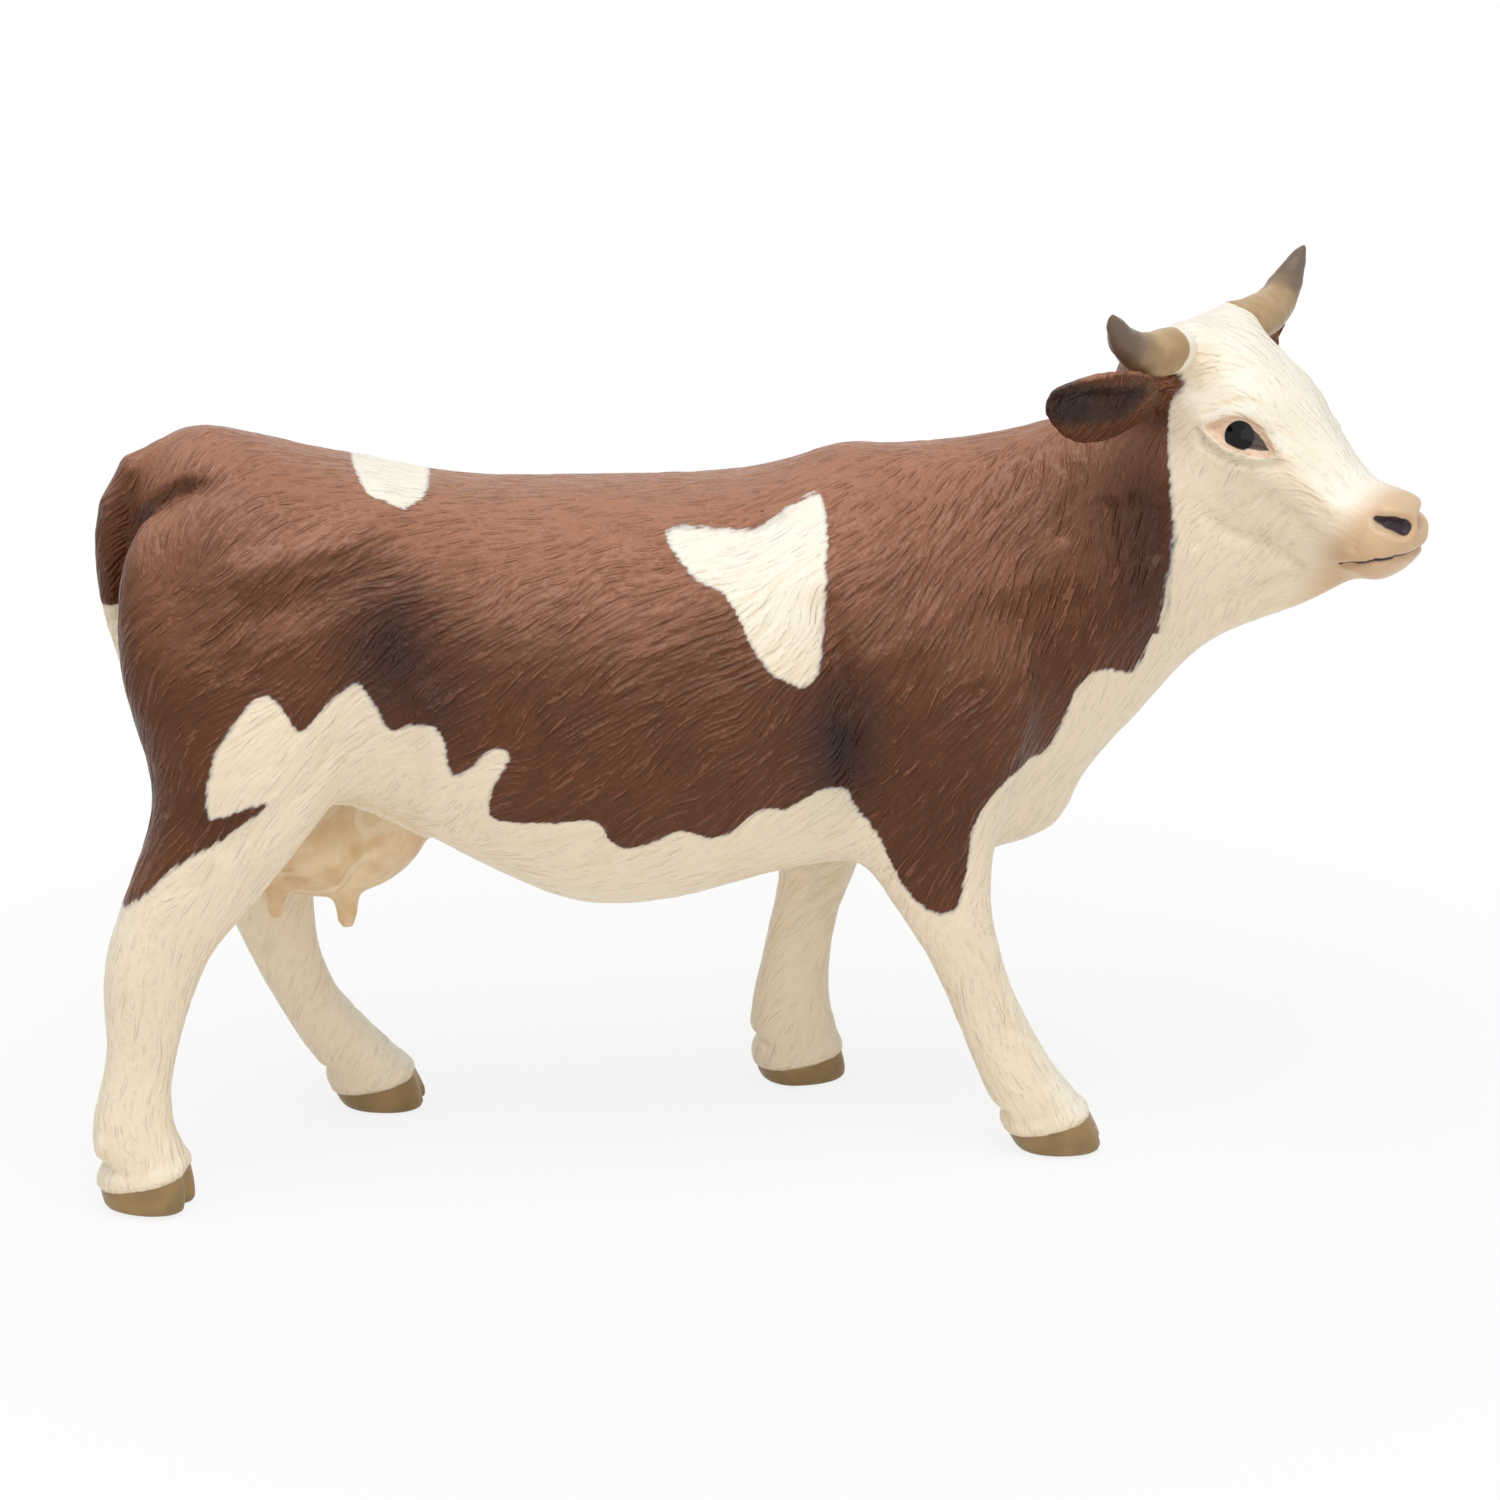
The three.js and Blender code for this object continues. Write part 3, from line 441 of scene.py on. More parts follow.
# Folds on both sides of the head, in its own frame: their line, width and height.
FACE_FOLDS = [
    ([(12.2, -8, -13), (16.5, -6, -14.3), (20.4, -4, -13.2), (24, -2.5, -13)], 0.8, -0.65),
    ([(16.1, -5.7, -2.6), (20.4, -5, -3.5), (24.4, -4.7, -3.8)], 1.2, 0.5),
    ([(9.6, -8.1, -7.3), (12.6, -7.9, -6.9), (15.4, -7.5, -5.4), (17.1, -6.1, -3.6)], 0.5, -0.3),
    ([(10, -7.8, -11), (12.2, -8.8, -14), (15.3, -8.5, -16.7)], 0.8, -0.45),
    ([(19.7, -4.6, -23.2), (22.1, -3.1, -19.4), (24.7, -2.3, -15.2)], 1.0, -0.5),
    ([(27.8, -3.8, -1), (28.1, -5.1, -2.9), (28.9, -5.6, -5.4)], 0.6, -0.3),
    ([(1.5, -14.7, -1.5), (2.8, -14.7, -4.5), (1.5, -14.7, -7.5)], 0.9, -0.6),
]

# The eye's corners and lids, in the head's own frame, on the right.
EYE_REAR = np.array([8.6, -8.3, -5.5])
EYE_FRONT = np.array([16.5, -6.0, -3.3])
EYE_UP = np.array([-0.36, 0.46, 0.81])
EYE_LIDS = (2.6, -1.2)
# The lids slant, so a point is nearer to their edge than it is straight up or down, by this share.
EYE_SLOPE = 0.85
PUPIL_PLACE = (-0.3, 0.55)
PUPIL_RADIUS = 1.6
# The heights of the lids' rim and the eyeball, and the depths of the socket and the upper lid's crease.
LID_RISE = 0.25
BALL_RISE = 0.6
BALL_RADIUS = 1.7
SOCKET_DEPTH = 0.45
LID_CREASE = 0.2

# The nostril, the mouth and the ear's cup: their lines, ways out, half widths and depths.
NOSTRIL = [(28.9, -4.1, -1.4), (30.2, -3.5, -0.9), (31.4, -2.3, -0.9)]
NOSTRIL_OUT = (0.45, -0.75, 0.5)
NOSTRIL_WIDTHS = ((28.6, 29.8, 31.4), (0.35, 0.75, 0.95))
NOSTRIL_DEPTH = 1.3
MOUTH = [(29.2, -4.4, -8.9), (30.2, -5.2, -7.2), (31.8, -4.9, -5), (32.8, -3.1, -4), (33.2, 0, -4.2)]
MOUTH_OUT = (0.7, -0.7, 0)
MOUTH_WIDTH = 0.35
MOUTH_DEPTH = 0.5
EAR_CUP = [(3, -17.5, -4.6), (1.4, -21.8, -4.9), (-0.8, -24.6, -5.6)]
EAR_WIDTH = 1.7
EAR_DEPTH = 0.9
# How far in front of or behind the face's lines they still count.
LINE_REACH = 4
# Where along the head its hair thins out to the bare muzzle.
MUZZLE_BARE = (22, 28)

# The hooves: their middles on the floor, the paint's height there, its rise for each millimetre to the
# toes, and the height of the notch above the heel.
HOOVES = np.array([
    (34.3, -10.9, 3.8, 0.23, 4.8),
    (10.3, 15.1, 2.9, 0.16, 5.2),
    (-65.7, -10.6, 3.75, 0.24, 5.3),
    (-37.2, 14.9, 3.5, 0.23, 5.0),
])
# How far from its middle the paint rises, and the height of the skin's rim above it.
HOOF_REACH = 6
RIM_RISE = 0.25
NOTCH_DEPTH = 0.7
NOTCH_WIDTH = 0.8


def nearest_hoof(points):
    """The columns of the hooves' table for the hoof that is nearest to each point."""
    gaps = [np.hypot(*(points[:, :2] - hoof[:2]).T) for hoof in HOOVES]
    return HOOVES[np.argmin(gaps, 0)].T


def hoof_top(points):
    """The height of the nearest hoof's upper edge at each point."""
    along, _, height, rise, _ = nearest_hoof(points)
    return height + rise * np.clip(points[:, 0] - along, -HOOF_REACH, HOOF_REACH)


def side_of(points):
    """The side of the cow that each point is on."""
    return np.where(points[:, 1] < np.interp(points[:, 0], NECK_X, NECK_Y, MIDDLE), RIGHT, LEFT)


def to_path(points, path):
    """Each point's distance to a path of straight stretches."""
    path = np.array(path, float)
    least = np.full(len(points), np.inf)
    for start, end in zip(path[:-1], path[1:]):
        stretch = end - start
        share = np.clip((points - start) @ stretch / (stretch @ stretch), 0, 1)
        gap = points - start - share[:, None] * stretch
        least = np.minimum(least, (gap * gap).sum(1))
    return np.sqrt(least)


def fading(gap, width):
    """1 where a distance is 0, falling softly to 0 over a width."""
    return np.exp(-(gap / width) ** 2)


def bumps(places, forms):
    """The height at places of soft forms, each with its middle, its reach and its height."""
    return sum(rise * np.exp(-(((places - middle) / reach) ** 2).sum(1)) for middle, reach, rise in forms)


def folds(places, lines):
    """The height at places of folds, each with its line, its width and its height."""
    return sum(rise * fading(to_path(places, path), width) for path, width, rise in lines)


def on_right(places):
    """Places in the head's own frame, with the left side turned over onto the right."""
    return places * np.where(places[:, 1:2] > 0, [1, -1, 1], 1)


def to_line(places, path, out):
    """Each place's distance to a path seen along a direction, far where it is well in front or behind."""
    out = np.array(out) / np.linalg.norm(out)
    path = np.array(path, float)
    depth = places @ out
    gap = to_path(places - depth[:, None] * out, path - (path @ out)[:, None] * out)
    return np.where(np.abs(depth - (path @ out).mean()) < LINE_REACH, gap, FAR)


def eye_place(places):
    """Where points are on the eye: along it from its middle, above its corners, and out of it."""
    along = (EYE_FRONT - EYE_REAR) / np.linalg.norm(EYE_FRONT - EYE_REAR)
    out = np.cross(along, EYE_UP)
    offset = on_right(places) - (EYE_REAR + EYE_FRONT) / 2
    return offset @ along, offset @ EYE_UP, offset @ out


def eye_inset(places):
    """How far points are inside the eye's lids, below 0 outside them."""
    along, up, out = eye_place(places)
    half = np.linalg.norm(EYE_FRONT - EYE_REAR) / 2
    arch = 1 - (along / half) ** 2
    inset = np.minimum(EYE_LIDS[0] * arch - up, up - EYE_LIDS[1] * arch) * EYE_SLOPE
    return np.where(np.abs(out) < LINE_REACH, inset, -FAR)


def pupil_gap(places):
    """How far points are from the pupil's middle, as seen from the side."""
    along, up, _ = eye_place(places)
    return np.hypot(along - PUPIL_PLACE[0], up - PUPIL_PLACE[1])


def nostril_inset(right):
    """How far points are inside the nostril, which narrows to its rear."""
    return np.interp(right[:, 0], *NOSTRIL_WIDTHS) - to_line(right, NOSTRIL, NOSTRIL_OUT)


def outward(points):
    """Places along, out from the trunk's middle plane and up."""
    return np.abs(points - [0, MIDDLE, 0]) * [0, 1, 0] + points * [1, 0, 1]


def tail_crease(out, width):
    """How much of the crease beside the tail's root a place has, fading to its front end."""
    return fading(to_path(out, TAIL_CREASE), width) * smooth(*CREASE_FADE, -out[:, 0])


def large_forms(points):
    """How far the muscles and hollows stand out at each point."""
    out = outward(points)
    height = bumps(out, BACK_FORMS) - CREASE_DEPTH * tail_crease(out, CREASE_WIDTH)
    return height + bumps(on_right(head_place(points)), FACE_FORMS)


def fine_forms(points, normals):
    """How far the folds, eyes, nostrils, mouth, ears and hooves stand out at each point."""
    sideways = smooth(0.1, 0.5, normals[:, 1] * side_of(points))
    height = folds(points[:, [0, 2]], FLANK_FOLDS) * sideways
    places = head_place(points)
    right = on_right(places)
    height += folds(right, FACE_FOLDS)
    inset = eye_inset(places)
    _, up, _ = eye_place(places)
    opening = smooth(0, 0.6, inset)
    height += LID_RISE * fading(inset + 0.2, 0.45)
    height += opening * (BALL_RISE * fading(pupil_gap(places), BALL_RADIUS) - SOCKET_DEPTH)
    height -= LID_CREASE * fading(inset + 1.4, 0.5) * smooth(0.5, 1.5, up)
    height -= NOSTRIL_DEPTH * smooth(-0.7, 0.5, nostril_inset(right))
    height -= MOUTH_DEPTH * fading(to_line(right, MOUTH, MOUTH_OUT), MOUTH_WIDTH)
    facing = normals @ HEAD_AXES.T
    cupped = smooth(0.1, 0.6, facing[:, 0] * 0.6 + facing[:, 1] * np.sign(places[:, 1]) * 0.7)
    height -= EAR_DEPTH * fading(to_path(right, EAR_CUP), EAR_WIDTH) * cupped
    above = points[:, 2] - hoof_top(points)
    height += RIM_RISE * smooth(-0.1, 0.3, above) * (1 - smooth(0.6, 2.2, above))
    notch = nearest_hoof(points)[4]
    rearward = smooth(0.3, 0.9, -normals[:, 0])
    return height - NOTCH_DEPTH * fading(points[:, 2] - notch, NOTCH_WIDTH) * rearward


def stroke_share(points, owner):
    """How deep the hair's strokes are at each point, as a share of their depth."""
    places = head_place(points)
    share = smooth(-0.2, 0.6, points[:, 2] - hoof_top(points))
    share *= 1 - EYE_LESS * smooth(-1.2, -0.2, eye_inset(places))
    in_head = owner == NODES.index("head")
    share *= np.where(in_head, HEAD_STROKES - MUZZLE_LESS * smooth(*MUZZLE_BARE, places[:, 0]), 1)
    return share * np.where(owner == NODES.index("udder"), UDDER_STROKES, 1)


# How near a point of a piece is to the seam's own point, in metres.
SEAM_REACH = 1e-6
# The rows of faces along a seam that are never thinned.
FIRM_ROWS = 3


class Skin:
    """The whole figurine's sculpted skin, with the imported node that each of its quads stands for."""

    def __init__(self, settings):
        blocks = {name: distances(*node_mesh(name)) for name in NODES}
        others = np.minimum.reduce([blocks[name] for name in NODES if name != "udder"])
        self.udder_inset = others - blocks["udder"]
        points, quads = surface(joined_field(blocks, settings))
        points = points.astype(float)
        quads = quads.astype(np.int64)
        normals = point_normals(points, quads)
        points += normals * large_forms(points)[:, None]
        points, quads = subdivided(points, quads)
        nearest = np.stack([sampled(blocks[name], points) for name in NODES])
        owner = nearest.argmin(0)
        normals = point_normals(points, quads)
        points += normals * fine_forms(points, normals)[:, None]
        normals = point_normals(points, quads)
        strokes = coat_strokes(points, normals, settings)
        depth = settings.stroke_depth / MM * stroke_share(points, owner)
        self.points = points + normals * (strokes * depth)[:, None]
        self.points[:, 2] = np.maximum(self.points[:, 2], 0)
        self.normals = point_normals(self.points, quads)
        self.quads = quads
        self.owner = np.stack([nearest[:, quads[:, k]] for k in range(4)]).sum(0).argmin(0)


def coat_strokes(points, normals, settings):
    """The hair's strokes, about 1 high, at points of the skin."""
    direction = hair_direction(points, normals)
    spacing = settings.stroke_spacing / MM
    length = settings.stroke_length / MM
    broad = combed(points, direction, spacing, length, settings.seed)
    fine = combed(points, direction, spacing * FINE_SIZE, length * FINE_SIZE, settings.seed + 1)
    return np.clip(broad + FINE_STRENGTH * fine, -STROKE_MOST, STROKE_MOST)


def closed_piece(points, faces):
    """A piece's points with the middles of its open edges, and a fan of triangles to each middle."""
    ends = np.stack([faces, np.roll(faces, -1, 1)], 2).reshape(-1, 2)
    count = len(points)
    open_ends = ends[~np.isin(ends @ [count, 1], ends @ [1, count])]
    after = {}
    for start, end in open_ends.tolist():
        after.setdefault(start, []).append(end)
    caps = []
    centres = []
    while after:
        first = next(iter(after))
        loop = [first]
        while loop[-1] in after:
            here = loop[-1]
            loop.append(after[here].pop())
            if not after[here]:
                del after[here]
        centre = count + len(centres)
        centres.append(points[loop].mean(0))
        caps += [(end, start, centre) for start, end in zip(loop[:-1], loop[1:])]
    return np.concatenate([points, centres]), np.array(caps)


def skin_piece(skin, node, settings):
    """The part of the skin that stands for a node, closed where it meets its neighbours."""
    rows = skin.quads[skin.owner == NODES.index(node)]
    used, faces = np.unique(rows, return_inverse=True)
    faces = faces.reshape(-1, 4)
    points, caps = closed_piece(skin.points[used], faces)
    mesh = new_mesh(node, points, [faces, caps])
    smooth_faces = np.concatenate([np.ones(len(faces), bool), np.zeros(len(caps), bool)])
    mesh.polygons.foreach_set("use_smooth", smooth_faces)
    thing = link(node, mesh)
    triangles = 2 * len(faces) + len(caps)
    if triangles > settings.most_triangles:
        thinned(thing, faces, caps, settings.most_triangles / triangles)
        bpy.data.meshes.remove(mesh)
    thing.data.name = node
    seam = np.unique(caps[:, :2])
    match_seam(thing.data, points[seam], skin.normals[used[seam]])
    return thing


def thinned(thing, faces, caps, share):
    """Leaves a share of a piece's triangles, and all those near its seams."""
    firm = np.zeros(len(thing.data.vertices), bool)
    firm[caps] = True
    for _ in range(FIRM_ROWS):
        firm[faces[firm[faces].any(1)]] = True
    loose = thing.vertex_groups.new(name="loose")
    loose.add(np.flatnonzero(~firm).tolist(), 1.0, "REPLACE")
    thinner = thing.modifiers.new("thinner", "DECIMATE")
    thinner.ratio = share
    thinner.vertex_group = loose.name
    thing.data = evaluated(thing)
    thing.modifiers.clear()
    thing.vertex_groups.clear()


def match_seam(mesh, places, normals):
    """Gives a piece the whole skin's normals along its seams, so that no line shows there."""
    tree = KDTree(len(places))
    for k, place in enumerate(places * MM):
        tree.insert(place, k)
    tree.balance()
    corners = np.zeros((len(mesh.loops), 3))
    for polygon in mesh.polygons:
        if not polygon.use_smooth:
            continue
        for k in polygon.loop_indices:
            place = mesh.vertices[mesh.loops[k].vertex_index].co
            _, nearest, gap = tree.find(place)
            if gap < SEAM_REACH:
                corners[k] = normals[nearest]
    mesh.normals_split_custom_set(corners.tolist())


def piece_normals(mesh):
    """The smooth normal at each of a piece's points."""
    corners = read(mesh.corner_normals, "vector", np.float32, 3)
    ends = read(mesh.loops, "vertex_index", np.int32)
    sizes = read(mesh.polygons, "loop_total", np.int32)
    kept = np.repeat(read(mesh.polygons, "use_smooth", bool), sizes)
    normals = np.tile([0.0, 0.0, 1.0], (len(mesh.vertices), 1))
    normals[ends[kept]] = corners[kept]
    return normals


# Painting the coat: outlines of the cream paint on the flanks, along and up.
RIGHT_CREAM = [
    (-80, 33), (-68.5, 33.5), (-65.5, 36.4), (-61.7, 40.6), (-57, 43), (-52, 46.9), (-54.5, 46.3),
    (-58, 45.2), (-59.2, 45.3), (-58.7, 50.2), (-57.6, 53.3), (-54.1, 57.8), (-52.6, 58.6), (-51.4, 57.9),
    (-49.1, 53.7), (-47, 56), (-43, 59.3), (-41.9, 58), (-39.5, 53.1), (-37.7, 54.1), (-35.3, 54.5),
    (-33.9, 52.7), (-33.3, 48), (-31.6, 49), (-29.5, 51.5), (-28.1, 51.6), (-27.1, 50.8), (-29.2, 46.7),
    (-29.4, 43.5), (-27.6, 42.8), (-22, 43), (-18.1, 43.5), (-16.8, 40.9), (-15.4, 39.6), (-13.7, 39.7),
    (-9.1, 41.9), (-6.1, 40.1), (-3.9, 40.6), (-1, 43), (0.3, 43.3), (2.3, 42.5), (5.1, 44.4), (7.7, 44.8),
    (9.4, 44), (10.2, 41.8), (12.2, 39.6), (15.3, 32.7), (17.5, 30.4), (18.8, 29.4), (21.1, 29.7),
    (22.1, 33.4), (22.6, 39.2), (24.2, 41.7), (26.5, 44.5), (29.7, 45.2), (31.8, 45), (33.2, 47.2),
    (35.1, 52.9), (36.9, 54.3), (38.7, 54.4), (41.7, 53), (42.8, 55.5), (44.8, 63.6), (45.9, 73),
    (45.2, 80), (45.2, 84), (46, 90), (46, 105), (95, 105), (95, -10), (-80, -10),
]
LEFT_CREAM = [
    (-80, 34), (-67, 35), (-62, 40), (-58, 44), (-55.5, 50), (-52, 55.5), (-49.5, 57), (-47.5, 54.5),
    (-45.5, 50), (-42.5, 53), (-39, 57), (-36.5, 55.5), (-35.3, 50), (-32, 47), (-28, 49), (-25.5, 46.5),
    (-21, 42), (-17, 44), (-13, 41), (-9, 40), (-6, 43), (-2, 44), (1, 41), (5, 43), (7.6, 41), (8.6, 36),
    (8.7, 31.5), (11, 28.5), (13.5, 31), (15, 38), (18, 43), (22, 46), (26, 45), (30, 46), (33.5, 47.5),
    (36, 52), (40, 55), (46, 56), (52, 59), (57, 63), (60, 68), (61, 74), (61, 105), (95, 105), (95, -10),
    (-80, -10),
]
SHOULDER_PATCH = [
    (-9.4, 71.5), (-7.7, 72.1), (-4, 71.6), (-0.3, 71.3), (2, 71.7), (4.3, 73), (6.8, 73.9), (7.8, 74.1),
    (8.4, 73.3), (7.3, 66.8), (6.5, 59.9), (5.4, 56.9), (4.1, 56), (2.4, 56.8), (-0.1, 58.5), (-1.6, 61.4),
    (-3.4, 65.9), (-7, 67.6), (-8.7, 69.8),
]
LEFT_PATCH = [
    (-26, 65), (-23, 68.5), (-18.5, 69), (-15.5, 66), (-14.8, 61), (-17, 57.5), (-20, 56.5), (-23, 59),
]
# A patch over the back, along and across.
BACK_PATCH = [
    (-41, 4.5), (-41.1, -3.6), (-40, -6.8), (-37.3, -8), (-35, -6), (-33.5, -3), (-32.2, 6), (-33, 11),
    (-36, 13), (-39.5, 11),
]
# The face's cream paint, forward and up in the head's own frame.
FACE_CREAM = [
    (-4, 20), (-4, -3), (2, -3.2), (3.9, -4.2), (3.9, -5.9), (5.5, -8.9), (8.9, -11.6), (12.5, -15.3),
    (14.9, -18.8), (17.7, -25.6), (18.7, -31.7), (19, -50), (60, -50), (60, 20),
]
# The heights up to which the tail's switch, the throat and the inner sides of the legs are cream.
SWITCH_TOP = 63.8
THROAT_TOPS = {RIGHT: 58, LEFT: 68}
INNER_TOP = 48
# How far a face turns to the middle before it is an inner side, and how sharp the border is there.
INNER_TURN = 0.15
INNER_EDGE = 6
# The height above which the back's patch is painted.
BACK_LEVEL = 65
# How often an outline's corners are cut, and the share of a side that is cut off.
CORNER_CUTS = 2
CORNER_CUT = 0.22
# The dark paint in the crease beside the tail's root and in the ears, partly a wash and partly painted
# shade, and how far from the cup it fades.
CREASE_WASH_AND_SHADE = 0.9
CREASE_WASH_AND_SHADE_WIDTH = 1.1
EAR_WASH_AND_SHADE = 0.85
EAR_FADE = (-3.6, -2)
# Where along the head the muzzle's paint begins and is whole, and half the mouth's painted line.
MUZZLE_PAINT = (24.5, 28.5)
MOUTH_LINE = 0.2

# Dark paint on both flanks, partly washes of thin paint and partly painted shade in the hollows: place along
# and up, reach and strength.
WASH_AND_SHADE_SPOTS = [
    ((-39.4, 62), (5, 7), 0.85),
    ((8.3, 50), (4.6, 8), 0.95),
    ((-34, 56), (3, 5), 0.4),
    ((42, 67), (4, 10), 0.6),
    ((20, 40), (6, 5), 0.25),
    ((-58, 46), (5, 3), 0.25),
    ((-55, 77), (9, 5), 0.15),
    ((33, 74), (8, 5), 0.18),
]


def rounded(outline):
    """An outline with its corners cut."""
    outline = np.array(outline, float)
    for _ in range(CORNER_CUTS):
        after = np.roll(outline, -1, 0)
        ends = [share * after + (1 - share) * outline for share in (CORNER_CUT, 1 - CORNER_CUT)]
        outline = np.stack(ends, 1).reshape(-1, 2)
    return outline


def inside(flat, outline):
    """How far points in a plane are inside a rounded outline, below 0 outside it."""
    outline = rounded(outline)
    closed = np.concatenate([outline, outline[:1]])
    x, y = flat[:, 0], flat[:, 1]
    within = np.zeros(len(flat), bool)
    for (x0, y0), (x1, y1) in zip(closed[:-1], closed[1:]):
        if y0 != y1:
            within ^= ((y0 > y) != (y1 > y)) & (x < (x1 - x0) * (y - y0) / (y1 - y0) + x0)
    return np.where(within, 1, -1) * to_path(flat, closed)


def cream_inset(node, points, normals):
    """How far points are inside the cream paint, below 0 on the brown."""
    if node.startswith("ear"):
        return np.full(len(points), -FAR)
    if node == "tail":
        return SWITCH_TOP - points[:, 2]
    side = side_of(points)
    flat = points[:, [0, 2]]
    right = np.maximum(inside(flat, RIGHT_CREAM), inside(flat, SHOULDER_PATCH))
    left = np.maximum(inside(flat, LEFT_CREAM), inside(flat, LEFT_PATCH))
    cream = np.where(side == RIGHT, right, left)
    if node == "head":
        throat = np.where(side == RIGHT, THROAT_TOPS[RIGHT], THROAT_TOPS[LEFT]) - points[:, 2]
        face = inside(head_place(points)[:, [0, 2]], FACE_CREAM)
        return np.maximum(face, np.minimum(cream, throat))
    upward = smooth(0.2, 0.5, normals[:, 2])
    back = np.where(points[:, 2] > BACK_LEVEL, inside(points[:, :2], BACK_PATCH), -FAR)
    cream = np.maximum(cream, back * upward - FAR * (1 - upward))
    below = INNER_TOP - points[:, 2]
    inner = np.minimum((-normals[:, 1] * side - INNER_TURN) * INNER_EDGE, below)
    return np.where(below > 0, np.maximum(cream, inner), cream)


def give(mesh, name, numbers):
    """Gives each of a mesh's points a number under a name."""
    attribute = mesh.attributes.new(name, "FLOAT", "POINT")
    attribute.data.foreach_set("value", numbers.astype(np.float32))


def paint_points(thing, node, skin, settings):
    """Gives a piece's points what its paint follows, in millimetres or as shares."""
    mesh = thing.data
    points = mesh_points(mesh)
    normals = piece_normals(mesh)
    places = head_place(points)
    right = on_right(places)
    in_head = node == "head"
    dark = np.maximum(nostril_inset(right), MOUTH_LINE - to_line(right, MOUTH, MOUTH_OUT))
    # Dark paint on the flanks, in the crease by the tail's root and in the ears' cups: partly a wash, partly
    # painted shade.
    wash_and_shade = bumps(points[:, [0, 2]], WASH_AND_SHADE_SPOTS)
    wash_and_shade += CREASE_WASH_AND_SHADE * tail_crease(outward(points), CREASE_WASH_AND_SHADE_WIDTH)
    if node.startswith("ear"):
        wash_and_shade = EAR_WASH_AND_SHADE * smooth(*EAR_FADE, -to_path(right, EAR_CUP))
    values = {
        "cream": cream_inset(node, points, normals),
        "wash_and_shade": wash_and_shade,
        "udder": sampled(skin.udder_inset, points),
        "muzzle": smooth(*MUZZLE_PAINT, places[:, 0]) * in_head,
        "eye": np.where(in_head, eye_inset(places), -FAR),
        "eye_forward": eye_place(places)[0],
        "above_hoof": points[:, 2] - hoof_top(points),
        # How much each point faces up, which the coat's painted light follows.
        "upward": normals[:, 2],
        "hairy": 1 - 0.8 * smooth(*MUZZLE_BARE, places[:, 0]) * in_head,
        "pupil": PUPIL_RADIUS - pupil_gap(places),
        "dark": np.where(in_head, dark, -FAR),
        "stroke": coat_strokes(points, normals, settings),
    }
    for name, numbers in values.items():
        give(mesh, name, numbers)
    hair = mesh.attributes.new("hair", "FLOAT_VECTOR", "POINT")
    hair.data.foreach_set("vector", hair_direction(points, normals).astype(np.float32).ravel())


# Writing paints.

# How strongly paint mirrors light, and how far noise that is averaged into strokes is spread again.
GLOSS = 0.25
STROKE_CONTRAST = 2.5
# The coat's finest strokes: their spacing and length, and the places along each.
COAT_STROKES = (0.42, 2.2, 12)


class Value:
    """What a node gives, so that shader maths is written as Python."""

    def __init__(self, paint, socket):
        self.paint = paint
        self.socket = socket

    def math(self, operation, first, second):
        """What a Math node makes of two values."""
        sockets = {"Value": first, "Value_001": second}
        return self.paint.out("ShaderNodeMath", {"operation": operation}, sockets)

    def __add__(self, other):
        return self.math("ADD", self, other)

    def __sub__(self, other):
        return self.math("SUBTRACT", self, other)

    def __rsub__(self, other):
        return self.math("SUBTRACT", other, self)

    def __mul__(self, other):
        return self.math("MULTIPLY", self, other)

    def __pow__(self, power):
        return self.math("POWER", self, power)

    __radd__ = __add__
    __rmul__ = __mul__

    def step(self, low, high):
        """0 below low, 1 above high and a soft step between them."""
        sockets = {"Value": self, "From Min": low, "From Max": high}
        return self.paint.out("ShaderNodeMapRange", {"interpolation_type": "SMOOTHSTEP"}, sockets)


class Nodes:
    """A node tree, and the ways to add to it."""

    def __init__(self, tree):
        self.tree = tree

    def node(self, kind, settings=(), sockets=()):
        """A node with its settings, and then the values or links of its sockets."""
        node = self.tree.nodes.new(kind)
        for key, value in dict(settings).items():
            setattr(node, key, value)
        for key, value in dict(sockets).items():
            self.join(node, key, value)
        return node

    def out(self, kind, settings=(), sockets=(), output=0):
        """One output of a new node."""
        return Value(self, self.node(kind, settings, sockets).outputs[output])

    def join(self, node, key, value):
        """Gives a socket a value or a link."""
        socket = next(s for s in node.inputs if key in (s.identifier, s.name))
        if isinstance(value, Value):
            value = value.socket
        if isinstance(value, bpy.types.NodeSocket):
            self.tree.links.new(value, socket)
        else:
            socket.default_value = value

    def mix(self, share, first, second):
        """A colour between two, by a share from 0 to 1."""
        sockets = {"Factor_Float": share, "A_Color": first, "B_Color": second}
        node = self.node("ShaderNodeMix", {"data_type": "RGBA"}, sockets)
        return next(s for s in node.outputs if s.identifier == "Result_Color")

    def layered(self, base, *layers):
        """Colours laid over a base one after the other, each by its share."""
        for share, colour in layers:
            base = self.mix(share, base, colour)
        return base


